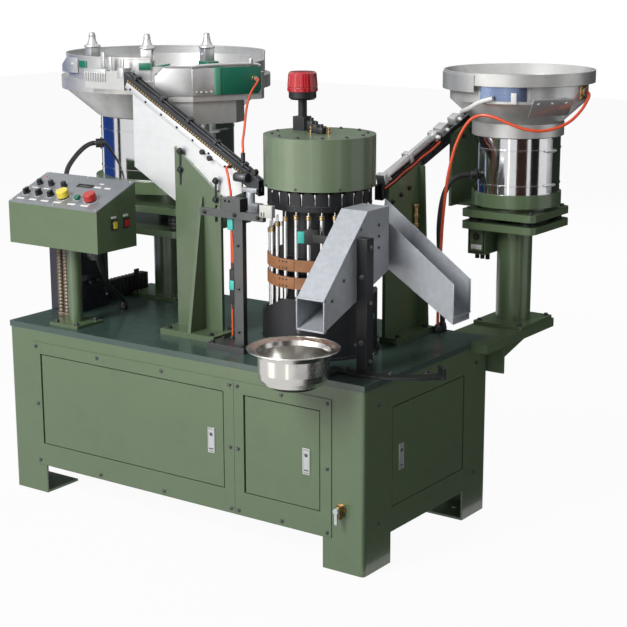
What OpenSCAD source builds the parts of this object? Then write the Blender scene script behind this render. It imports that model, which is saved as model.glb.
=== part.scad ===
// Screw and washer assembly machine: a rotary turret fed by two vibratory bowls.
// Millimetres. +Z is up, +X is to the operator's right, -Y is towards the operator.
// The origin is the centre of the cabinet's footprint, on the floor.

/* [Cabinet] */
// Width of the cabinet
cab_w = 1470; // [1400:10:1600]
// Depth of the cabinet
cab_d = 740; // [700:10:800]
// Height of the table top above the floor
table_h = 600; // [560:5:700]
// Thickness of the table plate
table_t = 20; // [12:1:30]
// Width of a leg on each face
leg_w = 150; // [120:5:180]
// Clear height under the skirt
leg_h = 100; // [60:5:120]
// Width of the corner angle above the skirt
post_w = 110; // [90:5:130]
// Thickness of the wall sheet
wall_t = 5; // [3:0.5:8]
// Outer bend radius of the corner angles
bend_r = 12; // [9:1:20]
// Thickness of a foot plate
foot_t = 8; // [5:1:12]
// Diameter of an anchor hole
anchor_d = 18; // [12:1:24]
// Distance of an anchor hole from the two outer faces of its leg
anchor_inset = 75; // [60:1:90]
// Thickness of the cabinet floor
floor_t = 4; // [2:0.5:8]

/* [Front panels and doors] */
// Thickness of a bolted front panel
panel_t = 3; // [2:0.5:4]
// Width of the right front panel; the left one takes the rest of the front
right_panel_w = 369; // [360:1:380]
// Seam between the two panels
panel_seam = 1; // [0.5:0.5:3]
// Bare strip between the right panel and the corner angle
panel_spare = 7; // [2:1:12]
// Bare strip between the front panels and the table
panel_head = 39; // [34:1:50]
// Height of the door sill above the floor
door_sill = 183; // [175:1:190]
// Margin from a front door's top to its panel's top
door_head = 43; // [40:1:50]
// Panel margin left of the electrical door
elec_margin = 36; // [34:1:42]
// Panel margin left of the drive door
drive_margin = 40; // [36:1:44]
// Panel margin right of a front door
door_stile = 43; // [40:1:48]
// Wall margin behind the side door
side_margin = 42; // [36:1:60]
// Wall margin before the side door
side_stile = 48; // [36:1:60]
// Gap round a closed door
door_gap = 3; // [2:0.5:4]
// Radius of a door's rolled hinge edge, half its depth
hinge_r = 8; // [7:0.5:10]
// Thickness of a door's sheet
door_sheet = 2; // [1.5:0.5:3]
// Thickness of the lips round a doorway
lip_t = 3; // [2:0.5:4]
// Depth of the lips round a doorway
lip_d = 18; // [16:1:22]
// Diameter of a door pivot pin
pivot_d = 8; // [6:0.5:9]
// Width of a latch body
latch_w = 26; // [24:1:32]
// Height of a latch body
latch_h = 82; // [70:1:95]
// Distance of a latch from the free edge of its door
latch_inset = 35; // [20:1:50]

/* [Console] */
// Width of the console box
console_w = 403; // [380:1:430]
// Depth of the console box
console_d = 190; // [180:1:210]
// Height of the console's front wall
console_h = 138; // [120:1:150]
// Slope of the console panel in degrees
console_slope = 22; // [15:1:28]
// Length of the console post
console_post_l = 278; // [250:1:320]
// Diameter of the console post
console_post_d = 48; // [40:1:60]
// Place of the console post across the table
console_x = -508; // [-540:1:-480]
// Place of the console post along the table
console_y = -278; // [-300:1:-270]
// Thickness of the console sheet
console_sheet = 2; // [1.5:0.5:3]
// Thickness of the console panel
console_panel_t = 3; // [2:0.5:4]
// Diameter of a selector knob
knob_d = 26; // [20:1:32]
// Height of a selector knob
knob_h = 20; // [14:1:28]
// Diameter of a mushroom head
mushroom_d = 42; // [36:1:46]

/* [Left feeder] */
// Place of the left feeder's axis across the table
left_x = -550; // [-570:1:-540]
// Place of the left feeder's axis along the table
left_y = 275; // [260:1:280]
// Radius of the left bowl's rim
left_rim_r = 374; // [370:1:377]
// Radius of the left drum cover
left_drum_r = 240; // [220:1:250]
// Height of the left column's tube
left_column_l = 249; // [240:1:260]
// Radius of the left column's tube
left_column_r = 61; // [50:1:70]

/* [Right feeder] */
// Place of the right feeder's axis across the table
right_x = 701; // [690:1:705]
// Place of the right feeder's axis along the table
right_y = 605; // [600:1:612]
// Radius of the right bowl's rim
right_rim_r = 250; // [235:1:256]
// Radius of the right drum cover
right_drum_r = 143; // [130:1:150]
// Height of the right column's tube
right_column_l = 319; // [310:1:330]
// Radius of the right column's tube
right_column_r = 59; // [50:1:65]
// Side of the right feeder's square plates
right_plate_w = 275; // [262:1:290]
// Thickness of the rear shelf
shelf_t = 30; // [24:1:40]
// Depth of the rear shelf behind the cabinet
shelf_d = 360; // [352:1:380]
// Width of the rear shelf
shelf_w = 190; // [186:1:200]

/* [Feeder drums] */
// Thickness of the feeders' lower and upper plates
plate_t = 24; // [18:1:30]
// Height of the rubber mounts between the plates
mount_h = 17; // [12:1:24]
// Height of a drum's base ring
base_ring_h = 44; // [36:1:54]
// Wall of a drum cover
drum_wall = 2; // [1.5:0.5:3]
// Wall of a bowl
bowl_wall = 6; // [4:0.5:8]
// Running gap between a bowl and what stands still
bowl_gap = 3; // [2:0.5:4]

/* [Turret] */
// Place of the turret's axis across the table
turret_x = 355; // [345:1:358]
// Place of the turret's axis along the table
turret_y = -55; // [-60:1:-50]
// Number of work stations
stations = 24; // [20:1:26]
// Radius of the hood
hood_r = 177; // [174:1:180]
// Height of the hood's lower edge above the table
hood_z = 526; // [520:1:532]
// Height of the hood
hood_h = 160; // [140:1:180]
// Wall of the hood
hood_wall = 4; // [3:0.5:6]
// Radius of the work holders' outer faces
holder_r = 165; // [163:1:167]
// Height of a work holder
holder_h = 44; // [36:1:48]
// Thickness of the dial plate
dial_t = 18; // [14:1:22]
// Radius of the circle of push rods
rod_circle_r = 156; // [150:1:157]
// Diameter of a push rod
rod_d = 14; // [12:0.5:15]
// Length of a push rod below its collar
rod_l = 262; // [240:1:275]
// Lift of the push rods from the low to the high side
rod_lift = 62; // [40:1:66]
// Upward travel left over the highest rods
rod_travel = 9; // [6:0.5:12]
// Radius of the rotor's drum
rotor_r = 118; // [100:1:125]
// Radius of the rotor's shaft through the table
shaft_r = 80; // [72:1:86]
// Radius of the fixed centre column
column_r = 45; // [36:1:52]
// Height of a friction band
band_h = 36; // [28:1:42]
// Thickness of a friction band
band_t = 4; // [3:0.5:5]
// Height of the lower band's middle above the table
band_low = 238; // [232:1:244]
// Height of the upper band's middle above the table
band_high = 294; // [288:1:300]
// Outer radius of the cam housing
cam_r = 184; // [182:1:185]
// Wall of the cam housing
cam_wall = 12; // [8:1:14]
// Height of the cam housing's low rim above the table
cam_low = 128; // [120:1:135]
// Tilt of the cam housing's rim in degrees
cam_tilt = 25; // [22:0.5:28]

/* [Tracks] */
// Height of the left rails' upper end above the table
left_rail_top = 850; // [835:1:860]
// Slope of the left track in degrees
left_slope = 29.7; // [28.5:0.1:30.5]
// Place of the left track along the table
left_rail_y = -125; // [-128:1:-122]
// Slope of the right track in degrees
right_slope = 18.5; // [17.5:0.1:19.5]
// Place of the right track across the table
right_rail_x = 482; // [479:1:485]
// Width of a pair of rails
rail_w = 30; // [26:1:34]
// Depth of a rail
rail_h = 34; // [28:1:38]
// Slot between the rails
rail_slot = 7; // [5:0.5:10]
// Thickness of a bracket plate
bracket_t = 12; // [10:1:14]

/* [Chute and pot] */
// Width of the chute's duct and channel
chute_w = 95; // [85:1:98]
// Thickness of the chute's sheet
chute_t = 2; // [1.5:0.5:3]
// Side of the chute post
chute_post_w = 36; // [30:1:40]
// Rim radius of the collecting pot
pot_rim_r = 137; // [125:1:140]
// Body radius of the collecting pot
pot_r = 106; // [98:1:110]
// Height of the collecting pot
pot_h = 108; // [100:1:115]
// Wall of the collecting pot
pot_wall = 2; // [1.5:0.5:3]
// Place of the pot across the table
pot_x = 560; // [555:1:565]
// Place of the pot along the table
pot_y = -482; // [-486:1:-480]

/* [Hidden] */
$fn = 72;
eps = 0.01;
fit = 0.05;         // running clearance on a radius
skin = 0.3;         // gap between pieces that move past each other
half_w = cab_w/2;
half_d = cab_d/2;
under = table_h - table_t;
front = -half_d;
panel_face = front - panel_t;
panel_z = leg_h + 3;
panel_h = under - panel_z - panel_head;
left_panel_w = cab_w - 2*post_w - right_panel_w - panel_seam - panel_spare;
door_h = panel_h + panel_z - door_sill - door_head;
elec_door_w = left_panel_w - elec_margin - door_stile;
drive_door_w = right_panel_w - drive_margin - door_stile;
side_door_w = cab_d - 2*post_w - side_margin - side_stile;
panel_x0 = post_w - half_w;
panel_x1 = panel_x0 + left_panel_w + panel_seam;
panel_x2 = panel_x1 + right_panel_w;
elec_x = panel_x0 + elec_margin;
drive_x = panel_x1 + drive_margin;
side_y = half_d - post_w - side_margin;
door_depth = 2*hinge_r;
latch_z = door_sill + door_h/2 - 10;
latch_depth = 13;
paddle_w = latch_w - 6;
paddle_h = latch_h - 10;
paddle_t = 6;
paddle_pin_r = 2;
frame_side = 20;
frame_low = 50;
frame_high = 65;
valve_x = half_w - 80;
valve_z = leg_h + 105;
valve_out = 34;
latch_proud = 2;
latch_pin_y = 1;
latch_pin_z = 26;
upright_w = 62;

console_z = table_h + console_post_l;
console_front = console_y - console_d/2;
console_flange = 130;
console_flange_t = 10;
panel_len = console_d/cos(console_slope);
knob_stem_r = 3;
lower_row = 61;
upper_row = 127;
selector_u = [-168, -110, -55];
trim_u = [-165, -111, -52];
yellow_u = 4;
green_u = 68;
stop_u = 127;
rocker_y = [-292, -234];
rocker_z = console_z + 86;
rocker_w = 16;
rocker_h = 22;
rocker_pin_r = 1.5;
rocker_pin_x = 3.5;
bezel = 4;

base_plate_t = 12;
left_base_w = 210;
left_plate_w = 440;
left_mount_h = mount_h + 40;
left_lower_z = table_h + base_plate_t + left_column_l;
right_lower_z = table_h + base_plate_t + right_column_l;
left_upper_z = left_lower_z + plate_t + left_mount_h;
right_upper_z = right_lower_z + plate_t + mount_h;
drum_gap_h = 16;
left_gap_h = drum_gap_h + 28;
left_ring_z = left_upper_z + plate_t + left_gap_h;
right_ring_z = right_upper_z + plate_t + drum_gap_h;
left_drum_z = left_ring_z + base_ring_h;
right_drum_z = right_ring_z + base_ring_h;
left_drum_h = 215;
right_drum_h = 186;
left_bowl_z = left_drum_z + left_drum_h + bowl_gap;
right_bowl_z = right_drum_z + right_drum_h + bowl_gap;
left_cone_h = 97;
left_wall_h = 92;
right_neck_h = 44;
right_cone_h = 74;
right_wall_h = 96;
spindle_r = 25;
spindle_l = 22;
pan_wall = 5;
pan_h = 70;
// Corners of the left return pan and of the lower pan under it: reach past the bowl's rim
// and angle round its axis
function at_rim(c) = (left_rim_r + c[0])*[cos(c[1]), sin(c[1])];
pan_corners = [[-13.4, -56.31], [56.6, -54.83], [74.5, -38.30], [99.1, -6.55], [78.3, -2.03], [-43.4, 3.47]];
low_pan_corners = [[-19.3, -49.57], [51.7, -48.33], [66.1, -38.17], [66.3, -17.45], [40.3, -10.01], [-38.6, -10.30]];
pan_plan = [for (c = pan_corners) at_rim(c)];
low_pan_plan = [for (c = low_pan_corners) at_rim(c)];
pan_turn = -27.8;
clamp_angles = [-103, -61, -23];
track_turns = 2;
track_strips = 16;
track_bite = 4;
track_t = 4;
drum_gland_r = 15;

dial_z = table_h + hood_z - holder_h - dial_t - 2;
holder_z = dial_z + dial_t;
hood_bottom = table_h + hood_z;
hood_top = hood_bottom + hood_h;
collar_high = dial_z - rod_travel - 1;
collar_h = 14;
collar_r = 9;
tip_r = 3;
holder_gap = 1.4;
holder_d = 34;
arch_r = 19;
tip_l = 22;
shaft_foot = under - 180;
box_floor = 16;
gearbox_w = 240;
cam_floor = 14;
rod_foot = collar_high - rod_lift - collar_h - rod_l;
pitch = 360/stations;
high_side = -23;
cam_steep = cam_r*tan(cam_tilt)/rod_lift;
// Rise of the cam from 0 to 1 with the angle round the turret: a tilted rim, cut level at its two ends
function rise(a) = max(0, min(1, 0.5 + cam_steep*cos(a - high_side)));
function station(i) = i*pitch + pitch/2;

rail_foot_h = 10;
left_rail_x1 = turret_x - hood_r;
left_rail_x0 = left_x + 172;
right_rail_y0 = turret_y + 145;
right_rail_y1 = right_y + 83;
left_rail_len = (left_rail_x1 - left_rail_x0)/cos(left_slope);
right_rail_len = (right_rail_y1 - right_rail_y0)/cos(right_slope);
right_rail_low = hood_bottom - 12;
side_plate_t = 8;
bracket_y = left_rail_y - side_plate_t/2 - bracket_t;
bracket_x0 = left_rail_x0 + 211;
bracket_x1 = bracket_x0 + 190;
// Heights of the rails' tops and undersides along the tracks
function left_top(x) = table_h + left_rail_top - (x - left_rail_x0)*tan(left_slope);
function left_under(x) = left_top(x) - (rail_h + rail_foot_h)/cos(left_slope);
function right_under(y) = right_rail_low + (y - right_rail_y0)*tan(right_slope)
    - (rail_h + rail_foot_h)/cos(right_slope);
right_plate_x = right_rail_x + rail_w/2;
right_bracket_l = 208;

duct_x0 = turret_x + cam_r + 6;
duct_x1 = duct_x0 + chute_w;
duct_mouth_y = front - 72;
duct_knee_y = front + 157;
duct_back_y = turret_y - 41;
mouth_low = table_h + 162;
mouth_high = table_h + 258;
duct_back_low = table_h + 291;
duct_top = table_h + 489;
channel_y0 = duct_back_y + 26;
channel_y1 = channel_y0 + chute_w + 5;
channel_x1 = half_w + 120;
channel_drop = tan(32);
channel_h = 126;
channel_rise = 462;
channel_top = table_h + channel_rise;
chute_post_inset = 117;
chute_post_y = front + chute_post_inset;
chute_post_h = 416;
chute_post_top = table_h + chute_post_h;
arm_t = 8;
arm_w = 40;
arm_r = 318;
arm_cx = duct_x1 - 20;
arm_reach = 291;
arm_cy = chute_post_y + arm_reach;
pot_z = table_h + arm_t;
stand_x = turret_x - hood_r;
stand_from_axis = 185;
stand_y = turret_y - stand_from_axis;
stand_h = 452;
stand_w = 36;
stand_d = 20;
bar_h = 24;
beacon_from_axis = [-102, 51];
lens_r = 48;
air_unit_w = 120;
air_unit_d = 170;
air_unit_from_post = 198;
air_unit_x = air_unit_w/2 - half_w;
air_unit_y = console_y + air_unit_from_post;
air_rail_w = 28;
air_rail_l = 266;
air_rail_h = 70;

// Cord routes: points along each cord from its upper end, with heights above the table
gland_r = 13;
gland_h = 16;
console_cable_r = 8;
console_cable_route = [[-470, -205, console_post_l], [-470, -205, 240], [-471, -196, 210], [-476, -170, 160],
    [-488, -130, 112], [-502, -92, 84], [-514, -56, 62], [-521, -34, 46], [-524, -22, 31], [-524, -20, 23],
    [-524, -20, gland_h]];
left_cable_r = 9;
left_cable_end = console_post_l + 102;
left_cable_route = [[-740, 95, 565], [-747.3, 88.1, 565], [-754, 74, 561], [-757, 54, 553], [-755, 26, 540],
    [-750, 0, 527], [-743, -28, 512], [-733, -56, 496], [-720, -80, 478], [-706, -100, 452],
    [-694, -116, 424], [-684, -130, 398], [-678, -142, 385], [-676, -152, left_cable_end],
    [-676, -163, left_cable_end]];
right_cable_r = 9;
right_cable_route = [[592, 481, 512], [582, 470, 512], [566, 452, 508], [552, 434, 496], [543, 418, 476],
    [538, 404, 450], [536, 392, 415], [536, 382, 370], [538, 376, 320], [548, 368, 220], [564, 356, 120],
    [570, 352, 75], [572, 350, 40], [572, 350, gland_h]];
left_hose_r = 4;
left_hose_start = [left_x + at_rim([110.6, -10.82])[0], left_y + at_rim([110.6, -10.82])[1], 820];
left_hose_route = [left_hose_start, left_hose_start + [10, -5, 0],
    [-55, 168, 815], [-50, 150, 804], [-46, 125, 788],
    [-38, 98, 768], [-22, 64, 744], [0, 28, 720], [24, -8, 696], [48, -44, 674], [70, -78, 656],
    [88, -104, 644], [100, -119, 634], [105, -125, 624], [105, -125, 615]];
right_hose_r = 5;
right_hose_route = [[944, 605, 793], [951, 605, 793], [957, 601, 788], [959, 589, 774], [950, 562, 740],
    [930, 524, 706], [900, 486, 686],
    [862, 452, 678], [820, 424, 684], [776, 404, 700], [730, 392, 718], [686, 384, 724], [648, 378, 708],
    [622, 368, 668], [604, 356, 616], [594, 344, 556], [588, 334, 492], [580, 324, 350], [572, 320, 80],
    [572, 320, gland_h]];
sensor_hose_r = 4;
sensor_hose_route = [[66, -151, 570], [66, -158, 570], [70, -167, 567], [78, -174, 558], [88, -180, 538],
    [96, -183, 508],
    [100, -184, 470], [100, -184, 240], [100, -184, gland_h]];
function last(route) = route[len(route) - 1];
gland_spots = [for (route = [console_cable_route, right_cable_route, right_hose_route, sensor_hose_route])
    [last(route)[0], last(route)[1]]];

paint = [0.32, 0.40, 0.29];
dark_steel = [0.16, 0.16, 0.17];
bright = [0.75, 0.76, 0.78];
black = [0.05, 0.05, 0.06];
orange = [0.9, 0.3, 0.12];

// A box between two corners
module block(a, b) {
    translate(a) cube(b - a);
}

// A plain tube standing on z = 0
module tube(r_out, r_in, h) {
    difference() {
        cylinder(r = r_out, h = h);
        translate([0, 0, -1]) cylinder(r = r_in, h = h + 2);
    }
}

// A rectangle with round corners, its lower left corner at the origin
module round_rect(w, d, r) {
    translate([r, 0]) square([w - 2*r, d]);
    translate([0, r]) square([w, d - 2*r]);
    for (x = [r, w - r], y = [r, d - r]) translate([x, y]) circle(r);
}

// A square plate with round corners, centred on the Z axis
module square_plate(w, t, r) {
    translate([-w/2, -w/2, 0]) linear_extrude(t) round_rect(w, w, r);
}

// A flat shape drawn in X and Z, standing between y and y + t
module wall_xz(y, t) {
    translate([0, y + t, 0]) rotate([90, 0, 0]) linear_extrude(t) children();
}

// A flat shape drawn in Y and Z, standing between x and x + t
module wall_yz(x, t) {
    translate([x, 0, 0]) rotate([90, 0, 90]) linear_extrude(t) children();
}

// Sweep of a round cord along its route: rings of points on planes square to the route
function unit(v) = v/norm(v);
function heading(p, i) = unit(p[min(i + 1, len(p) - 1)] - p[max(i - 1, 0)]);
function side_of(d) = unit(cross(d, abs(d[2]) > 0.95 ? [1, 0, 0] : [0, 0, 1]));
// Carry the first side direction along the route, so that the rings don't twist
function carried(p, i) = i == 0 ? side_of(heading(p, 0)) :
    let (s = carried(p, i - 1), d = heading(p, i)) unit(s - d*(s*d));
module cord(line, r, sides = 10) {
    route = [for (p = line) p + [0, 0, table_h]];
    rings = len(route);
    points = [for (i = [0:rings - 1]) let (d = heading(route, i), s = carried(route, i), t = cross(d, s))
        for (k = [0:sides - 1]) let (a = 360*k/sides) route[i] + r*(cos(a)*s + sin(a)*t)];
    walls = [for (i = [0:rings - 2], k = [0:sides - 1]) let (a = i*sides + k, b = i*sides + (k + 1) % sides)
        each [[a, a + sides, b], [b, a + sides, b + sides]]];
    ends = [[for (k = [0:sides - 1]) k], [for (k = [0:sides - 1]) (rings - 1)*sides + sides - 1 - k]];
    polyhedron(points, concat(walls, ends), convexity = 6);
}

// Cabinet

// A square from the origin with its corner at the origin rounded
module corner_square(w, r) {
    translate([r, 0]) square([w - r, w]);
    translate([0, r]) square([w, w - r]);
    translate([r, r]) circle(r);
}

module angle_section(w) {
    difference() {
        corner_square(w, bend_r);
        translate([wall_t, wall_t]) corner_square(w, bend_r - wall_t);
    }
}

module corner_legs() {
    color(paint)
    for (mx = [0, 1], my = [0, 1])
        mirror([mx, 0, 0]) mirror([0, my, 0]) translate([-half_w, -half_d, 0]) {
            linear_extrude(leg_h) angle_section(leg_w);
            translate([0, 0, leg_h - eps]) linear_extrude(under - leg_h + eps) angle_section(post_w);
            difference() {
                block([wall_t - 1, wall_t - 1, 0], [leg_w, leg_w, foot_t]);
                translate([anchor_inset, anchor_inset, -1]) cylinder(d = anchor_d, h = foot_t + 2);
            }
        }
}

// A door's own frame: x runs from the hinge edge, y inwards from the outer face
module at_elec_door() {
    translate([elec_x, panel_face, 0]) children();
}

module at_drive_door() {
    translate([drive_x, panel_face, 0]) children();
}

module at_side_door() {
    translate([half_w, side_y, 0]) mirror([1, 0, 0]) rotate([0, 0, -90]) children();
}

// Lips round a doorway behind a sheet
module doorway_lips(w, sheet) {
    o = door_gap + lip_t;
    difference() {
        block([-o, sheet - eps, door_sill - o], [w + o, sheet + lip_d, door_sill + door_h + o]);
        doorway_cut(w);
    }
}

// The room for a door and the bores of its pivot pins
module doorway_cut(w) {
    o = door_gap + lip_t + 1;
    block([-door_gap, -1, door_sill - door_gap], [w + door_gap, lip_d*2, door_sill + door_h + door_gap]);
    translate([hinge_r, hinge_r, door_sill - o]) cylinder(d = pivot_d + 2*fit, h = door_h + 2*o);
}

module one_panel(x, w) {
    block([x, panel_face, panel_z], [x + w, front, panel_z + panel_h]);
}

module front_panels() {
    color(paint) {
        difference() {
            one_panel(panel_x0, left_panel_w);
            at_elec_door() doorway_cut(elec_door_w);
        }
        at_elec_door() doorway_lips(elec_door_w, panel_t);
        difference() {
            one_panel(panel_x1, right_panel_w);
            at_drive_door() doorway_cut(drive_door_w);
        }
        at_drive_door() doorway_lips(drive_door_w, panel_t);
    }
}

module cabinet_walls() {
    span = half_w - post_w;
    reach = half_d - post_w;
    upright = panel_x1 - panel_seam/2;
    color(paint) {
        block([-span, half_d - wall_t, leg_h], [span, half_d, under]);
        block([-half_w, -reach, leg_h], [wall_t - half_w, reach, under]);
        difference() {
            block([-span, front, leg_h], [span, front + wall_t, under]);
            block([frame_side - span, front - 1, leg_h + frame_low],
                [upright - upright_w/2, front + wall_t + 1, under - frame_high]);
            block([upright + upright_w/2, front - 1, leg_h + frame_low],
                [span - frame_side, front + wall_t + 1, under - frame_high]);
        }
        difference() {
            block([half_w - wall_t, -reach, leg_h], [half_w, reach, under]);
            at_side_door() doorway_cut(side_door_w);
        }
        at_side_door() doorway_lips(side_door_w, wall_t);
        block([wall_t - half_w - eps, -reach, leg_h], [half_w - wall_t + eps, reach, leg_h + floor_t]);
        block([-span, front + wall_t - eps, leg_h], [span, half_d - wall_t + eps, leg_h + floor_t]);
    }
}

// A folded tray with a rolled hinge edge, two pivot pins and the cup of its latch
module door(w) {
    top = door_sill + door_h;
    pin_l = door_gap + lip_t;
    lx = w - latch_inset - latch_w;
    lz = latch_z - latch_h/2;
    difference() {
        union() {
            difference() {
                union() {
                    block([hinge_r, 0, door_sill], [w, door_depth, top]);
                    translate([hinge_r, hinge_r, door_sill]) cylinder(r = hinge_r, h = door_h);
                }
                block([door_depth + 4, door_sheet, door_sill + door_sheet],
                    [w - door_sheet, door_depth + 1, top - door_sheet]);
            }
            block([lx, -latch_proud, lz], [lx + latch_w, latch_depth, lz + latch_h]);
            translate([hinge_r, hinge_r, door_sill - pin_l]) cylinder(d = pivot_d, h = door_h + 2*pin_l);
        }
        block([lx + 3 - skin, -latch_proud - 1, lz + 5 - skin],
            [lx + latch_w - 3 + skin, latch_depth - door_sheet, lz + latch_h - 4]);
        translate([lx + 1, latch_pin_y, latch_z + latch_pin_z]) rotate([0, 90, 0])
            cylinder(r = paddle_pin_r + fit, h = latch_w - 2);
    }
}

// The paddle of a latch, with the pin that it turns on
module paddle(w) {
    lx = w - latch_inset - latch_w + 3;
    lz = latch_z - paddle_h/2;
    color(bright) {
        block([lx, -latch_proud, lz], [lx + paddle_w, paddle_t - latch_proud, lz + paddle_h]);
        translate([lx - 1.5, latch_pin_y, latch_z + latch_pin_z]) rotate([0, 90, 0])
            cylinder(r = paddle_pin_r, h = paddle_w + 3);
    }
}

module electrical_door() { color(paint) at_elec_door() door(elec_door_w); }

module drive_door() { color(paint) at_drive_door() door(drive_door_w); }

module side_door() { color(paint) at_side_door() door(side_door_w); }

module electrical_latch() { at_elec_door() paddle(elec_door_w); }

module drive_latch() { at_drive_door() paddle(drive_door_w); }

module side_latch() { at_side_door() paddle(side_door_w); }

module table_top() {
    color([0.20, 0.29, 0.27]) {
        difference() {
            block([-half_w, -half_d, under], [half_w, half_d, table_h]);
            translate([turret_x, turret_y, under - 1]) cylinder(r = shaft_r + 2, h = table_t + 2);
        }
        for (p = gland_spots) translate([p[0], p[1], table_h - eps])
            cylinder(r = gland_r, h = gland_h + eps, $fn = 6);
    }
}

// The shelf behind the cabinet, with the strip along the cabinet's right side and two gussets
module rear_shelf() {
    x0 = half_w + 60 - shelf_w;
    low = table_h - shelf_t;
    color(paint) {
        block([x0, half_d, low], [x0 + shelf_w, half_d + shelf_d, table_h]);
        block([half_w, half_d - 112, low], [x0 + shelf_w, half_d + 1, table_h]);
        block([x0, half_d, low - 90], [x0 + shelf_w, half_d + 8, low + 1]);
        for (x = [x0, half_w - 6])
            wall_yz(x, 12) polygon([[half_d + 7, low + 1], [half_d + shelf_d - 12, low + 1],
                [half_d + shelf_d - 12, low - 4], [half_d + 7, low - 90]]);
    }
}

// Switchgear on a back plate that hangs on the rear wall
module control_gear() {
    back = half_d - wall_t;
    plate_y = back - 30;
    x0 = elec_x + 29;
    x1 = x0 + 700;
    z0 = leg_h + 90;
    z1 = under - 80;
    color([0.75, 0.75, 0.72]) {
        block([x0, plate_y, z0], [x1, plate_y + 4, z1]);
        for (x = [x0 + 20, x1 - 36]) block([x, plate_y + 3, z0 + 10], [x + 16, back, z1 - 10]);
    }
    color([0.2, 0.2, 0.22]) translate([x0 + 40, plate_y + 1, z0]) {
        for (i = [0:5]) translate([i*62, -71, 200]) cube([48, 71, 70]);
        for (i = [0:11]) translate([i*34, -37, 40]) cube([30, 37, 50]);
        translate([440, -101, 40]) cube([170, 101, 230]);
    }
}

// Gearbox with a hollow output under the table, with its flanged motor
module gear_motor() {
    low = shaft_foot - box_floor;
    color([0.25, 0.27, 0.30]) translate([turret_x, turret_y, 0]) {
        difference() {
            block([-gearbox_w/2, -gearbox_w/2, low], [gearbox_w/2, gearbox_w/2, under]);
            translate([0, 0, shaft_foot - skin]) cylinder(r = shaft_r + fit, h = under);
        }
        translate([-gearbox_w/2 + 1, 0, low + 60]) rotate([0, -90, 0]) {
            cylinder(r = 60, h = 26);
            cylinder(r = 52, h = 200);
            for (i = [0:11]) rotate([0, 0, i*30]) translate([48, -2, 40]) cube([10, 4, 130]);
        }
    }
}

module drain_valve() {
    color(bright) translate([valve_x, front, valve_z]) rotate([90, 0, 0]) {
        cylinder(r = 16, h = 5);
        difference() {
            union() {
                cylinder(r = 9, h = valve_out - 8);
                translate([0, 0, valve_out - 20]) rotate([90, 0, 0]) translate([0, 0, -12])
                    cylinder(r = 10, h = 40);
            }
            translate([0, 0, valve_out - 20]) rotate([90, 0, 0]) translate([0, 0, 8]) cylinder(r = 6, h = 30);
        }
    }
}

// Lever of the drain cock: it turns on the valve's stem
module drain_lever() {
    color(bright) translate([valve_x, front - valve_out + 7.7, valve_z]) rotate([90, 0, 0]) {
        cylinder(r = 9, h = 9);
        translate([-5, -38, 3]) cube([10, 42, 4]);
        translate([0, -38, 3]) cylinder(r = 5, h = 4);
    }
}

// Console

module console_post() {
    color(paint) translate([console_x, console_y, table_h]) {
        square_plate(console_flange, console_flange_t, 6);
        cylinder(d = console_post_d, h = console_post_l);
    }
}

// Side outline of the console, shrunk by s on all sides
module console_outline(s) {
    rise_h = console_d*tan(console_slope);
    lift = s/cos(console_slope);
    polygon([[s, s], [console_d - s, s], [console_d - s, console_h + rise_h - s*tan(console_slope) - lift],
        [s, console_h + s*tan(console_slope) - lift]]);
}

module console_box() {
    back = console_front + console_d;
    end = last(left_cable_route);
    color(paint) {
        difference() {
            union() {
                translate([console_x - console_w/2, console_front, console_z]) difference() {
                    wall_yz(0, console_w) console_outline(0);
                    wall_yz(console_sheet, console_w - 2*console_sheet) console_outline(console_sheet);
                    translate([0, 0, console_h]) rotate([console_slope, 0, 0])
                        block([20, 20, -console_sheet*2], [console_w - 20, panel_len - 20, 1]);
                }
                for (y = rocker_y) at_rocker(y) block([-eps, -rocker_w/2 - bezel, -rocker_h/2 - bezel],
                    [2*rocker_pin_x - 1, rocker_w/2 + bezel, rocker_h/2 + bezel]);
            }
            for (y = rocker_y) at_rocker(y) {
                block([-console_sheet - 1, -rocker_w/2 - skin, -rocker_h/2 - 2],
                    [20, rocker_w/2 + skin, rocker_h/2 + 2]);
                rocker_pin(fit, bezel - 1 + skin);
            }
        }
        translate([end[0], back - eps, table_h + end[2]]) rotate([-90, 0, 0])
            cylinder(r = gland_r, h = end[1] - back - skin + eps, $fn = 6);
    }
}

// A rocker's place on the console's right side
module at_rocker(y) {
    translate([console_x + console_w/2, y, rocker_z]) children();
}

// A rocker's pin along Y, reaching past the rocker's sides
module rocker_pin(extra_r, reach) {
    l = rocker_w + 2*reach;
    translate([rocker_pin_x, l/2, 0]) rotate([90, 0, 0]) cylinder(r = rocker_pin_r + extra_r, h = l);
}

// A place on the console panel: u to the right of its middle, v up the slope, z out of the face
module on_panel(u, v) {
    translate([console_x, console_front, console_z + console_h]) rotate([console_slope, 0, 0])
        translate([u, v, console_panel_t]) children();
}

// The inclined panel, with its three trim knobs
module console_panel() {
    color([0.72, 0.73, 0.72]) difference() {
        on_panel(0, 0) block([-console_w/2, 0, -console_panel_t], [console_w/2, panel_len, 0]);
        for (u = concat(selector_u, [yellow_u, green_u, stop_u])) on_panel(u, lower_row) stem_hole();
    }
    for (u = trim_u) on_panel(u, upper_row) translate([0, 0, -skin]) knob(knob_d - 6, knob_h - 3);
}

module stem_hole() {
    translate([0, 0, -20]) cylinder(r = knob_stem_r + fit, h = 30);
}

// A pointer knob on its stem, with flats for the fingers
module knob(d, h) {
    color([0.08, 0.08, 0.09]) {
        translate([0, 0, -console_panel_t - 6]) cylinder(r = knob_stem_r, h = console_panel_t + 7);
        translate([0, 0, skin]) cylinder(d = d, h = 6);
        translate([0, 0, skin + 5]) intersection() {
            cylinder(d = d - 3, h = h - 5);
            block([-d/5, -d, -1], [d/5, d, h]);
        }
    }
}

module selector_1() { on_panel(selector_u[0], lower_row) knob(knob_d, knob_h); }

module selector_2() { on_panel(selector_u[1], lower_row) knob(knob_d, knob_h); }

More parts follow.
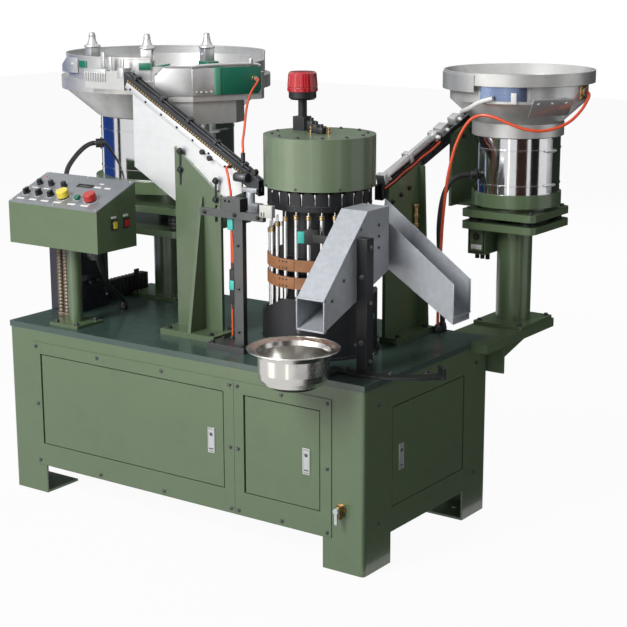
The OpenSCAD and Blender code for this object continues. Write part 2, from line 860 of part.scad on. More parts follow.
module selector_3() { on_panel(selector_u[2], lower_row) knob(knob_d, knob_h); }

// A push button: the head stands clear of the panel by its travel
module push_button(head_d, head_h, travel) {
    translate([0, 0, -console_panel_t - 12]) cylinder(r = knob_stem_r, h = console_panel_t + 13 + travel);
    translate([0, 0, travel + skin]) rotate_extrude() {
        square([head_d/2 - 3, head_h]);
        square([head_d/2, head_h - 3]);
        translate([head_d/2 - 3, head_h - 3]) circle(3);
    }
}

module yellow_button() { color([0.9, 0.85, 0.2]) on_panel(yellow_u, lower_row) push_button(mushroom_d, 22, 6); }

module green_button() { color([0.1, 0.5, 0.4]) on_panel(green_u, lower_row) push_button(22, 9, 4); }

module emergency_stop() { color([0.75, 0.1, 0.1]) on_panel(stop_u, lower_row) push_button(mushroom_d, 22, 6); }

// A rocker that turns on its pin
module rocker(y) {
    at_rocker(y) {
        translate([1, -rocker_w/2, -rocker_h/2]) cube([8, rocker_w, rocker_h]);
        rocker_pin(0, bezel - 1);
    }
}

module yellow_rocker() { color([0.85, 0.8, 0.2]) rocker(rocker_y[0]); }

module red_rocker() { color([0.75, 0.12, 0.12]) rocker(rocker_y[1]); }

// Two armoured conduits from the table to the console's underside
module conduits() {
    color([0.45, 0.40, 0.34])
    for (x = [0, 28]) translate([console_x - 126 + x, console_y + 62, table_h]) {
        cylinder(r = 14, h = 14);
        cylinder(r = 10, h = console_post_l);
        translate([0, 0, console_post_l - 14]) cylinder(r = 13, h = 14);
    }
}

module console_cable() { color(black) cord(console_cable_route, console_cable_r); }

// The air unit behind the console: a tall block with a ribbed rail along the table's edge
module air_unit() {
    translate([air_unit_x, air_unit_y, table_h]) {
        color([0.07, 0.08, 0.14]) block([-air_unit_w/2, -air_unit_d/2, 0],
            [air_unit_w/2, air_unit_d/2, console_post_l - 14]);
        color(black) translate([-air_rail_w/2, air_unit_d/2 - 1, 0]) cube([air_rail_w, air_rail_l, air_rail_h]);
    }
}

// Feeders

// A column: base plate, tube and the lower square plate
module feeder_column(base_x, base_y, base_w, base_d, r, l, plate_w) {
    translate([base_x, base_y, 0]) linear_extrude(base_plate_t) round_rect(base_w, base_d, 6);
    cylinder(r = r, h = base_plate_t + l + 1);
    translate([0, 0, base_plate_t + l]) square_plate(plate_w, plate_t, 24);
}

// Rubber mounts, upper plate, hub, base ring and the bowl's spindle, from the top of the lower plate
module feeder_base(plate_w, mounts_h, hub_r, hub_h, ring_r, drum_h) {
    color([0.06, 0.06, 0.06])
    for (x = [-1, 1], y = [-1, 1])
        translate([x*(plate_w/2 - 40), y*(plate_w/2 - 40), 0]) cylinder(r = 22, h = mounts_h);
    color(paint) {
        translate([0, 0, mounts_h]) square_plate(plate_w, plate_t, 24);
        translate([0, 0, mounts_h + plate_t - 1]) cylinder(r = hub_r, h = hub_h + 2);
        translate([0, 0, mounts_h + plate_t + hub_h]) cylinder(r = ring_r, h = base_ring_h);
        translate([0, 0, mounts_h + plate_t + hub_h + base_ring_h - 1])
            cylinder(r = spindle_r, h = drum_h + bowl_gap + spindle_l + 1);
    }
}

module left_column() {
    color(paint) translate([left_x, left_y, table_h]) feeder_column(-left_base_w/2, -left_base_w/2, left_base_w,
        half_d - left_y + left_base_w/2 - 10, left_column_r, left_column_l, left_plate_w);
}

module left_drive_unit() {
    translate([left_x, left_y, left_lower_z + plate_t])
        feeder_base(left_plate_w, left_mount_h, left_drum_r - 40, left_gap_h, left_drum_r + 23, left_drum_h);
}

// A drum cover with the gland of the feeder's cable, which ends just short of the cable's first point
module drum_cover(r, h, first) {
    reach = norm([first[0], first[1]]) - skin - r;
    color(bright) {
        tube(r, r - drum_wall, h);
        for (z = [h*0.15, h*0.78]) translate([0, 0, z]) tube(r + 2, r - drum_wall/2, 4);
        rotate([0, 0, atan2(first[1], first[0])]) translate([r - 1, 0, first[2]]) rotate([0, 90, 0])
            cylinder(r = drum_gland_r, h = reach + 1);
    }
}

module left_drum_cover() {
    at = [left_x, left_y, left_drum_z];
    translate(at) drum_cover(left_drum_r, left_drum_h, left_cable_route[0] + [0, 0, table_h] - at);
}

module left_bowl() {
    h1 = left_cone_h;
    h2 = left_cone_h + left_wall_h;
    core = left_drum_r + 10;
    bore = spindle_r + fit;
    color(bright) translate([left_x, left_y, left_bowl_z]) {
        rotate_extrude($fn = 96) polygon([[bore, 0], [core, 0], [left_rim_r - 10, h1], [left_rim_r, h1],
            [left_rim_r, h1 + 44], [left_rim_r - 22, h1 + 44], [left_rim_r - 22, h2],
            [left_rim_r - 22 - bowl_wall, h2], [left_rim_r - 40, h1 + 6], [core - 24, 14], [0, 40],
            [0, spindle_l + skin], [bore, spindle_l + skin]]);
        left_return_pan(h1);
        left_outlet(h1);
        for (a = clamp_angles) rotate([0, 0, a]) translate([left_rim_r - 60, 0, h2 - 40]) clamp_post();
        spiral_track([[14, core - 24], [h1 + 6, left_rim_r - 40], [h2, left_rim_r - 22 - bowl_wall]],
            34, h2 - 24, 40, -97);
    }
    first = left_hose_route[0];
    color([0.62, 0.48, 0.22]) translate([first[0], first[1], table_h + first[2]]) rotate([0, 0, pan_turn])
        translate([-bowl_gap/4, 0, 0]) rotate([0, -90, 0]) cylinder(r = 8, h = 25);
}

// The spiral track up a bowl's inside, made of tilted strips that bite into the wall: inside lists the wall's
// radius against height, and the track climbs from z0 to z1 and ends at an angle round the bowl
module spiral_track(inside, z0, z1, ledge, end_angle) {
    strips = track_turns*track_strips;
    turn = 360/track_strips;
    climb = (z1 - z0)/strips;
    for (i = [0:strips - 1]) {
        z = z0 + (i + 0.5)*climb;
        r = lookup(z, inside) + track_bite;
        rotate([0, 0, end_angle + (i - strips)*turn]) intersection() {
            rotate_extrude(angle = turn + 0.2) translate([r - ledge, z - ledge/2]) square([ledge, ledge]);
            rotate([0, 0, turn/2]) translate([0, 0, z]) rotate([atan(climb/(r*turn*PI/180)), 0, 0])
                block([0, -r, -track_t], [2*r, r, 0]);
        }
    }
}

// A threaded post with its square spacer, which clamps the bowl's cover bars
module clamp_post() {
    translate([0, 0, 28]) block([-22, -22, 0], [44, 22, 26]);
    translate([0, 0, 53]) cylinder(r = 16, h = 26);
    translate([0, 0, 78]) cylinder(r = 9, h = 69);
}

// The flat-sided pan on the bowl's front right, which brings spilled pieces back, and the lower pan under it
module left_return_pan(h1) {
    difference() {
        union() {
            translate([0, 0, h1 - 20]) linear_extrude(20 + pan_h) polygon(pan_plan);
            linear_extrude(h1 - 19) polygon(low_pan_plan);
        }
        translate([0, 0, h1]) linear_extrude(pan_h + 1) offset(delta = -pan_wall) polygon(pan_plan);
        translate([0, 0, -1]) linear_extrude(h1 - 19) offset(delta = -pan_wall) polygon(low_pan_plan);
        translate([0, 0, h1 - 30]) cylinder(r = left_rim_r - 24, h = 200, $fn = 96);
    }
}

// The outlet tooling: a slotted block from the rim to just short of the left rails
module left_outlet(h1) {
    y0 = left_rail_y - rail_w/2 - left_y;
    top = table_h + left_rail_top - left_bowl_z;
    difference() {
        block([-10, y0, h1 + 20], [left_rail_x0 - bowl_gap - left_x, 12 - left_rim_r, top]);
        block([-11, left_rail_y - rail_slot/2 - left_y, top - 26],
            [left_rail_x0 - left_x, left_rail_y + rail_slot/2 - left_y, top + 1]);
    }
}

module left_feeder_cable() { color(black) cord(left_cable_route, left_cable_r); }

module left_air_hose() { color(orange) cord(left_hose_route, left_hose_r, 8); }

module right_column() {
    color(paint) translate([right_x, right_y, table_h]) {
        feeder_column(-93, -113, 185, 229, right_column_r, right_column_l, right_plate_w);
        block([-128, -95, base_plate_t + right_column_l - 92], [-62, -5, base_plate_t + right_column_l + 1]);
    }
}

module right_drive_unit() {
    translate([right_x, right_y, right_lower_z + plate_t])
        feeder_base(right_plate_w, mount_h, right_drum_r - 24, drum_gap_h, right_drum_r + 7, right_drum_h);
    color(paint) track_stand();
}

// The plate on the upper plate's left edge that carries the right rails
module track_stand() {
    y0 = right_y - 100;
    y1 = right_y + 55;
    foot = right_upper_z + plate_t - 1;
    wall_yz(right_plate_x, 10)
        polygon([[y0, foot], [y1, foot], [y1, right_under(y1) + 30], [y0, right_under(y0) + 30]]);
    block([right_plate_x + 9, y0 + 40, foot], [right_x - right_plate_w/2 + 20, y1, foot + 9]);
}

module right_drum_cover() {
    at = [right_x, right_y, right_drum_z];
    translate(at) drum_cover(right_drum_r, right_drum_h, right_cable_route[0] + [0, 0, table_h] - at);
}

module right_bowl() {
    h1 = right_neck_h + right_cone_h;
    h2 = h1 + right_wall_h;
    neck = right_drum_r + 10;
    bore = spindle_r + fit;
    color(bright) translate([right_x, right_y, right_bowl_z]) {
        rotate_extrude($fn = 96) polygon([[bore, 0], [neck, 0], [neck, right_neck_h], [neck - 6, right_neck_h],
            [right_rim_r - 22, h1], [right_rim_r - 22, h2 - 40], [right_rim_r, h2 - 40], [right_rim_r, h2],
            [right_rim_r - bowl_wall, h2], [right_rim_r - 22 - bowl_wall, h2 - 34],
            [right_rim_r - 22 - bowl_wall, h1 + 4], [neck - 30, right_neck_h + 10], [0, right_neck_h + 26],
            [0, spindle_l + skin], [bore, spindle_l + skin]]);
        translate([right_rim_r - 23, 0, h2 - 66]) rotate([0, 90, 0])
            cylinder(r = 13, h = right_hose_route[0][0] - bowl_gap/2 - right_x - right_rim_r + 23, $fn = 6);
        spiral_track([[right_neck_h + 10, neck - 30], [h1 + 4, right_rim_r - 22 - bowl_wall]],
            right_neck_h + 24, h2 - 44, 30, 155);
    }
}

module right_feeder_cable() { color(black) cord(right_cable_route, right_cable_r); }

module right_air_hose() { color(orange) cord(right_hose_route, right_hose_r, 8); }

// Tracks

// A pair of rails on a foot bar, running along +X from the origin at the top of the rails
module rail_pair(l) {
    color([0.28, 0.28, 0.30]) {
        for (s = [-1, 1]) translate([0, s*(rail_w + rail_slot)/4 - (rail_w - rail_slot)/4, -rail_h])
            cube([l, (rail_w - rail_slot)/2, rail_h]);
        translate([0, -rail_w/2, -rail_h - rail_foot_h]) cube([l, rail_w, rail_foot_h + eps]);
    }
}

// The left rails, with the fittings of the air hose and of the sensor hose
module left_track() {
    air = last(left_hose_route);
    sense = sensor_hose_route[0];
    face = left_rail_y - rail_w/2;
    translate([left_rail_x0, left_rail_y, table_h + left_rail_top]) difference() {
        rotate([0, left_slope, 0]) translate([-60, 0, 0]) rail_pair(left_rail_len + 120);
        block([-200, -100, -900], [0, 100, 200]);
        block([left_rail_x1 - left_rail_x0, -100, -900], [left_rail_x1 - left_rail_x0 + 300, 100, 200]);
    }
    color(black) {
        translate([air[0], air[1], left_top(air[0]) - 8])
            cylinder(r = 7, h = table_h + air[2] - skin - left_top(air[0]) + 8);
        translate([sense[0], face + 1, table_h + sense[2]]) rotate([90, 0, 0])
            cylinder(r = 6, h = face + 1 - sense[1] - skin);
    }
}

// The bright plate under the left rails, bolted to the bracket
module left_track_plate() {
    x0 = left_rail_x0 + 24;
    x1 = bracket_x1 + 78;
    color(bright) wall_xz(left_rail_y - side_plate_t/2, side_plate_t)
        polygon([[x0, left_under(x0)], [x0, left_under(x0) - 250],
            [bracket_x0 + 12, left_under(bracket_x0 + 12) - 250],
            [bracket_x1 + 8, left_under(bracket_x1 + 8) - 110],
            [x1, left_under(x1) - 40], [x1, left_under(x1)]]);
}

module left_bracket() {
    base_t = 20;
    z0 = table_h + base_t;
    top0 = left_under(bracket_x0) - 60;
    top1 = left_under(bracket_x1) - 100;
    mid = (bracket_x0 + bracket_x1)/2 + 18;
    color([0.42, 0.50, 0.38]) {
        block([bracket_x0 - 8, bracket_y - 84, table_h], [bracket_x1 + 29, bracket_y + 48, z0]);
        difference() {
            wall_xz(bracket_y, bracket_t)
                polygon([[bracket_x0, z0 - 1], [bracket_x1, z0 - 1], [bracket_x1, top1], [bracket_x0, top0]]);
            for (p = [[bracket_x0 + 25, top0 - 70], [bracket_x1 - 18, top1 - 30]])
                wall_xz(bracket_y - 1, bracket_t + 2) translate([p[0] - 6, p[1] - 60]) round_rect(12, 60, 5.9);
        }
        wall_yz(mid - 6, 12) polygon([[bracket_y - 80, z0 - 1], [bracket_y + 1, z0 - 1],
            [bracket_y + 1, top1 - 10], [bracket_y - 6, top1 - 10]]);
        wall_yz(mid - 6, 12) polygon([[bracket_y + bracket_t - 1, z0 - 1], [bracket_y + 46, z0 - 1],
            [bracket_y + bracket_t - 1, z0 + 160]]);
    }
}

module right_track() {
    translate([right_rail_x, right_rail_y0, right_rail_low]) difference() {
        rotate([0, 0, 90]) rotate([0, -right_slope, 0]) translate([-60, 0, 0]) rail_pair(right_rail_len + 120);
        block([-100, -200, -900], [100, 0, 400]);
        block([-100, right_rail_y1 - right_rail_y0, -900], [100, right_rail_y1 - right_rail_y0 + 300, 400]);
    }
}

// The welded bracket beside the right rails
module right_bracket() {
    y0 = right_rail_y0 + 2;
    y1 = y0 + right_bracket_l;
    color(paint) {
        block([right_plate_x - 10, y0, table_h], [right_plate_x + 60, y1 + 20, table_h + 20]);
        wall_yz(right_plate_x, bracket_t) polygon([[y0, table_h + 19], [y1, table_h + 19],
            [y1, right_under(y1) + 30], [y0 + 20, right_under(y0 + 20) + 30], [y0, right_under(y0) - 60]]);
        wall_xz(y1 - 8, 8) polygon([[right_plate_x + 1, table_h + 19], [right_plate_x + 52, table_h + 19],
            [right_plate_x + 30, right_under(y1) + 20], [right_plate_x + 1, right_under(y1) + 20]]);
    }
}

// Turret

module at_turret() {
    translate([turret_x, turret_y, 0]) children();
}

module centre_column() {
    color(dark_steel) at_turret() {
        translate([0, 0, shaft_foot - skin])
            cylinder(r = column_r, h = hood_top - hood_wall - shaft_foot + skin);
    }
}

module turret_hood() {
    color(paint) at_turret() {
        translate([0, 0, hood_bottom]) tube(hood_r, hood_r - hood_wall, hood_h);
        translate([0, 0, hood_top - hood_wall]) cylinder(r = hood_r - 1, h = hood_wall);
    }
}

module beacon() {
    at_turret() translate([beacon_from_axis[0], beacon_from_axis[1], hood_top]) {
        color(dark_steel) {
            block([-24, -20, 0], [20, 20, 44]);
            cylinder(r = 14, h = 98);
            translate([0, 0, 97]) rotate_extrude()
                polygon([[0, 0], [lens_r - 10, 0], [lens_r - 4, 6], [lens_r - 4, 27], [0, 27]]);
        }
        color([0.78, 0.12, 0.16]) translate([0, 0, 123]) rotate_extrude()
            polygon([[0, 0], [lens_r - 1, 0], [lens_r, 3], [lens_r, 11], [lens_r - 2, 12], [lens_r - 2, 14],
                [lens_r - 0.5, 15], [lens_r - 4, 56], [lens_r - 9, 61], [0, 62]]);
    }
}

module turret_rotor() {
    color(dark_steel) at_turret() difference() {
        union() {
            translate([0, 0, shaft_foot]) cylinder(r = shaft_r, h = dial_z - shaft_foot);
            translate([0, 0, table_h + cam_floor + 20])
                cylinder(r = rotor_r, h = dial_z - table_h - cam_floor - 20);
            for (z = [band_low, band_high]) guide_disc(table_h + z - band_h/2);
        }
        translate([0, 0, shaft_foot - 1]) cylinder(r = column_r + fit, h = dial_z);
    }
}

// A disc with a groove for each push rod in its rim
module guide_disc(z) {
    translate([0, 0, z]) difference() {
        cylinder(r = rod_circle_r + rod_d/2 - 1, h = band_h);
        for (i = [0:stations - 1]) rotate([0, 0, station(i)]) translate([rod_circle_r, 0, -1])
            cylinder(d = rod_d + 2*fit, h = band_h + 2);
    }
}

module dial_plate() {
    color([0.25, 0.25, 0.26]) at_turret() translate([0, 0, dial_z]) difference() {
        cylinder(r = holder_r, h = dial_t);
        translate([0, 0, -1]) cylinder(r = column_r + fit, h = dial_t + 2);
        for (i = [0:stations - 1]) rotate([0, 0, station(i)]) translate([rod_circle_r, 0, -1])
            cylinder(r = tip_r + fit, h = dial_t + 2);
    }
}

// One work holder per station: an arch-topped block with a bore for the rod's tip
module work_holders() {
    half = pitch/2 - holder_gap;
    far = 2*holder_r;
    color([0.12, 0.12, 0.14]) at_turret() translate([0, 0, holder_z])
    for (i = [0:stations - 1]) rotate([0, 0, station(i)]) difference() {
        intersection() {
            tube(holder_r, holder_r - holder_d, holder_h);
            linear_extrude(holder_h)
                polygon([[0, 0], [far*cos(half), -far*sin(half)], [far*cos(half), far*sin(half)]]);
            wall_yz(0, far) {
                translate([-arch_r, -1]) square([2*arch_r, holder_h - arch_r + 1]);
                translate([0, holder_h - arch_r]) circle(arch_r);
            }
        }
        translate([rod_circle_r, 0, -1]) cylinder(r = tip_r + fit, h = holder_h + 2);
    }
}

// Push rods with brass collars, each at the height that the cam has left it
module push_rods() {
    color(bright) at_turret()
    for (i = [0:stations - 1]) rotate([0, 0, station(i)])
        translate([rod_circle_r, 0, collar_high - rod_lift*(1 - rise(station(i)))]) {
            translate([0, 0, -collar_h - rod_l]) cylinder(d = rod_d, h = rod_l + 1);
            translate([0, 0, -collar_h]) cylinder(r = collar_r, h = collar_h);
            translate([0, 0, -1]) cylinder(r = tip_r, h = tip_l + 1);
        }
}

module friction_bands() {
    color([0.62, 0.40, 0.24]) at_turret()
    for (z = [band_low, band_high]) translate([0, 0, table_h + z - band_h/2])
        tube(rod_circle_r + rod_d/2 + skin + band_t, rod_circle_r + rod_d/2 + skin, band_h);
}

// The cup round the rods' feet: its rim climbs with the cam, and a ring inside is the low track
module cam_housing() {
    color([0.24, 0.25, 0.26]) at_turret() translate([0, 0, table_h]) difference() {
        union() {
            difference() {
                cylinder(r = cam_r, h = cam_low + rod_lift);
                translate([0, 0, cam_floor]) cylinder(r = cam_r - cam_wall, h = 400);
                intersection() {
                    translate([0, 0, cam_low]) cylinder(r = 2*cam_r, h = 2*rod_lift);
                    translate([0, 0, cam_low + rod_lift/2]) rotate([0, -cam_tilt, high_side])
                        translate([-400, -400, 0]) cube([800, 800, 400]);
                }
            }
            tube(rod_circle_r + rod_d/2, rod_circle_r - rod_d/2, rod_foot - skin - table_h);
        }
        translate([0, 0, -1]) cylinder(r = shaft_r + 2, h = cam_floor + 2);
        rotate([0, 0, -75]) block([cam_r - 40, -8, 60], [cam_r + 10, 8, 120]);
    }
}

// Outputs and sensing

// Side outline of the duct, shrunk by s from its top and bottom
module duct_outline(s) {
    polygon([[duct_mouth_y, mouth_low + s], [duct_back_y, duct_back_low + s], [duct_back_y, duct_top - s],
        [duct_knee_y, duct_top - s], [duct_mouth_y, mouth_high - s]]);
}

// The duct, closed at its back, with a window towards the turret, and the open channel behind it
module output_chute() {
    color([0.72, 0.74, 0.76]) {
        difference() {
            wall_yz(duct_x0, chute_w) duct_outline(0);
            intersection() {
                wall_yz(duct_x0 + chute_t, chute_w - 2*chute_t) duct_outline(chute_t);
                block([duct_x0, duct_mouth_y - 1, mouth_low], [duct_x1, duct_back_y - chute_t, duct_top]);
            }
            block([duct_x0 - 5, duct_back_y - 104, duct_top - 99],
                [duct_x0 + chute_t + 1, duct_back_y - 20, duct_top - 14]);
        }
        open_channel();
    }
}

// The open channel that leads over the table's right edge
module open_channel() {
    l = channel_x1 - duct_x0;
    low = channel_top - channel_h;
    far = 26;
    difference() {
        wall_xz(channel_y0, channel_y1 - channel_y0)
            polygon([[duct_x0, low], [channel_x1, low - l*channel_drop],
                [channel_x1, low - l*channel_drop + channel_h], [duct_x0, channel_top + far]]);
        wall_xz(channel_y0 + chute_t, channel_y1 - channel_y0 - 2*chute_t)
            polygon([[duct_x0 - 9, low + 9*channel_drop + chute_t],
                [channel_x1 + 9, low - (l + 9)*channel_drop + chute_t],
                [channel_x1 + 9, channel_top + 100], [duct_x0 - 9, channel_top + 100]]);
    }
    block([duct_x0 + 20, duct_back_y - eps, channel_top - 60],
        [duct_x0 + 70, channel_y0 + eps, channel_top - 56]);
}

// The post of the chute on a curved flat arm, which also carries the pot
module chute_post() {
    px = duct_x1;
    color(dark_steel) {
        block([px, chute_post_y - chute_post_w/2, table_h + arm_t - 1],
            [px + chute_post_w, chute_post_y + chute_post_w/2, chute_post_top]);
        translate([arm_cx, arm_cy, table_h]) rotate([0, 0, -104]) rotate_extrude(angle = 66)
            translate([arm_r - arm_w/2, 0]) square([arm_w, arm_t]);
        translate([arm_cx, arm_cy, table_h]) rotate([0, 0, -38]) translate([arm_r - arm_w/2 - 1, -4, 0])
            cube([arm_w + 2, 10, 34]);
        block([pot_x - 30, pot_y, table_h + 1],
            [pot_x + 30, arm_cy - arm_r + 10, table_h + arm_t - 1]);
        translate([pot_x, pot_y, table_h]) cylinder(r = 70, h = arm_t);
    }
}

module collecting_pot() {
    w = pot_wall;
    color([0.72, 0.70, 0.66]) translate([pot_x, pot_y, pot_z]) rotate_extrude()
        polygon([[0, 0], [pot_r - 26, 0], [pot_r - 12, 6], [pot_r - 3, 20], [pot_r, 40],
            [pot_r + 1, pot_h - 22], [pot_r + 8, pot_h - 8], [pot_rim_r - 2, pot_h - w],
            [pot_rim_r, pot_h - w/2], [pot_rim_r - 1, pot_h], [pot_r + 4, pot_h - 6],
            [pot_r + 1 - w, pot_h - 20], [pot_r - w, 40], [pot_r - 4 - w, 22],
            [pot_r - 14, 6 + w], [pot_r - 26, w], [0, w]]);
}

// A post with a cross bar and a switch block, which watches the turret
module sensor_stand() {
    color([0.42, 0.42, 0.43]) translate([stand_x, stand_y, table_h]) {
        block([-110, -40, 0], [40, 40, 18]);
        block([-stand_w/2, -stand_d/2, 17], [stand_w/2, stand_d/2, stand_h]);
        block([-140, -stand_d/2 - 16, stand_h - bar_h], [111, eps - stand_d/2, stand_h]);
        difference() {
            block([-50, -stand_d/2 - 20, stand_h - eps], [25, stand_d/2, stand_h + 40]);
            for (x = [-34, -18]) wall_xz(-stand_d/2 - 21, stand_d + 22) translate([x, stand_h + 30]) circle(4);
        }
    }
}

module sensor_hose() { color(orange) cord(sensor_hose_route, sensor_hose_r, 8); }

corner_legs();
cabinet_walls();
front_panels();
table_top();
rear_shelf();
control_gear();
gear_motor();
drain_valve();
drain_lever();
electrical_door();
drive_door();
side_door();
electrical_latch();
drive_latch();
side_latch();
console_post();
console_box();
console_panel();
selector_1();
selector_2();
selector_3();
yellow_button();
green_button();
emergency_stop();
yellow_rocker();
red_rocker();
conduits();
console_cable();
air_unit();
left_column();
left_drive_unit();
left_drum_cover();
left_bowl();
left_feeder_cable();
left_air_hose();
right_column();
right_drive_unit();
right_drum_cover();
right_bowl();
right_feeder_cable();
right_air_hose();
left_track();
left_track_plate();
left_bracket();
right_track();
right_bracket();
centre_column();
turret_hood();
beacon();
turret_rotor();
dial_plate();
work_holders();
push_rods();
friction_bands();
cam_housing();
output_chute();
chute_post();
collecting_pot();
sensor_stand();
sensor_hose();
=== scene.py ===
"""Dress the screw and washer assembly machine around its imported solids.

The solids give every size and place. This script adds the finish of each surface, the cables and hoses at
their real length, and the small fittings: bolts, bezels, blank plates, sensors, ribs and clips.
"""
import logging
import math
from collections.abc import Iterable, Sequence
from dataclasses import dataclass
from enum import Enum
from functools import lru_cache

import bmesh
import bpy
from mathutils import Matrix, Vector
from mathutils.geometry import interpolate_bezier


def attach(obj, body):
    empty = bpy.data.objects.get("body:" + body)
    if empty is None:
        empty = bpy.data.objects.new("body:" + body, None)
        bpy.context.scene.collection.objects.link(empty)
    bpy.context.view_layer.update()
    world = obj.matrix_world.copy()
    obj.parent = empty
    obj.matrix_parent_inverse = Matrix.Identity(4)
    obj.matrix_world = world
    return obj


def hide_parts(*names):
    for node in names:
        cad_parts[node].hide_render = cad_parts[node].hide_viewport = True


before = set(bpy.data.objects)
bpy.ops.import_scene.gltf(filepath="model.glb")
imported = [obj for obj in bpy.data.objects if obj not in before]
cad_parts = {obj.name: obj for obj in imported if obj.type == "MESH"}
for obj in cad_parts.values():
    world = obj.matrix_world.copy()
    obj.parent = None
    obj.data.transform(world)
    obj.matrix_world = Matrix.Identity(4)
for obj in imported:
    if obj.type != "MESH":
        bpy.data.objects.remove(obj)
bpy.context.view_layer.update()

Point = tuple[float, float, float]
Spot = Point | Vector
Block = tuple[Point, Point]
Pair = tuple[float, float]
Pairs = Sequence[Pair]
Profile = Sequence[Pair]
Floats = tuple[float, ...]
Points = tuple[Point, ...]
Blocks = tuple[Block, ...]
Colour = tuple[float, float, float, float]
MM = 0.001
UP: Point = (0, 0, 1)
DOWN: Point = (0, 0, -1)
FRONT: Point = (0, -1, 0)
BACK: Point = (0, 1, 0)
RIGHT: Point = (1, 0, 0)
PAIR = (-1, 1)
WHITE: Colour = (1.0, 1.0, 1.0, 1.0)
log = logging.getLogger("machine")


def srgb(red: int, green: int, blue: int) -> Colour:
    """Give the linear colour of a screen colour.

    Args:
        red: red from 0 to 255.
        green: green from 0 to 255.
        blue: blue from 0 to 255.

    Returns:
        The colour as four linear values, with full alpha.
    """
    shares = [part / 255 for part in (red, green, blue)]
    linear = [s / 12.92 if s <= 0.04045 else ((s + 0.055) / 1.055) ** 2.4 for s in shares]
    return (*linear, 1.0)


def shade(colour: Colour, level: float) -> Colour:
    """Give a colour made lighter or darker by a factor."""
    return (*(min(part * level, 1.0) for part in colour[:3]), 1.0)


class Wire:
    """A shader socket that Python's operators join to Math nodes."""

    def __init__(self, graph: "Graph", socket: bpy.types.NodeSocket) -> None:
        """Keep the socket and the graph that it belongs to."""
        self.graph = graph
        self.socket = socket

    def _math(self, operation: str, first: "Wire | float", second: "Wire | float") -> "Wire":
        """Add one Math node for two terms."""
        return self.graph.node("ShaderNodeMath", {0: first, 1: second}, operation=operation)

    def __add__(self, other: "Wire | float") -> "Wire":
        """Add."""
        return self._math("ADD", self, other)

    def __rsub__(self, other: float) -> "Wire":
        """Subtract from a number."""
        return self._math("SUBTRACT", other, self)

    def __mul__(self, other: "Wire | float") -> "Wire":
        """Multiply."""
        return self._math("MULTIPLY", self, other)

    def between(self, low: float, high: float) -> "Wire":
        """Stretch the values from low to high over 0 to 1, and clamp them."""
        return self.graph.node("ShaderNodeMapRange", {"Value": self, "From Min": low, "From Max": high},
                               clamp=True)


class Graph:
    """The node tree of one material or of the world."""

    def __init__(self, owner: bpy.types.Material | bpy.types.World) -> None:
        """Empty the owner's node tree.

        Args:
            owner: the material or the world.
        """
        owner.use_nodes = True
        self.tree = owner.node_tree
        self.tree.nodes.clear()

    def node(self, kind: str, inputs: dict | None = None, output: int | str = 0,
             **settings: object) -> Wire | None:
        """Add a node.

        Args:
            kind: the node's type.
            inputs: values or wires by the name or number of the socket.
            output: the name or number of the socket to give back.
            settings: the node's own settings, set before its sockets.

        Returns:
            The chosen output, if the node has one.
        """
        made = self.tree.nodes.new(kind)
        for name, value in settings.items():
            setattr(made, name, value)
        for name, value in (inputs or {}).items():
            if isinstance(value, Wire):
                self.tree.links.new(value.socket, made.inputs[name])
            else:
                made.inputs[name].default_value = value
        return Wire(self, made.outputs[output]) if made.outputs else None

    def mix(self, share: Wire, first: Wire | Colour, second: Wire | Colour) -> Wire:
        """Mix two colours by a share from 0 to 1."""
        return self.node("ShaderNodeMix", {0: share, 6: first, 7: second}, 2, data_type="RGBA")

    def noise(self, place: Wire, scale: float, detail: float = 3.0) -> Wire:
        """Give soft noise over a place, from 0 to 1."""
        return self.node("ShaderNodeTexNoise", {"Vector": place, "Scale": scale, "Detail": detail})

    def cells(self, place: Wire, feature: str) -> Wire:
        """Give the distance from the middles of cells over a place."""
        return self.node("ShaderNodeTexVoronoi", {"Vector": place, "Scale": 1.0}, "Distance", feature=feature)


class Grain(Enum):
    """The pattern that a surface shows close up."""

    SMOOTH = "smooth"
    STREAKED = "streaked"
    CELLS = "cells"
    PEBBLED = "pebbled"


@dataclass(frozen=True)
class Wear:
    """How use shows on every surface.

    Attributes:
        patches: the frequency and detail of broad patches.
        grime: the frequency and detail of fine grime.
        soil: where grime in the patches starts and where it is full.
        soil_shade: how dark full grime makes the colour.
        edge: the radius by which edges look rounded.
        bend: the bend from which an edge is rubbed, and the bend that is rubbed fully.
        rub: the fine grime from which edges are rubbed, and where they are rubbed fully.
        rough: how far grain, soil and rubbing roughen the surface.
        bump: the strength of the grain's relief.
        coat: the roughness of a clear coat.
    """

    patches: Pair = (5.0, 4.0)
    grime: Pair = (23.0, 5.0)
    soil: Pair = (0.18, 0.46)
    soil_shade: float = 0.62
    edge: float = 0.0012
    bend: Pair = (0.02, 0.22)
    rub: Pair = (0.42, 0.62)
    rough: Point = (0.10, 0.25, 0.15)
    bump: float = 0.6
    coat: float = 0.12


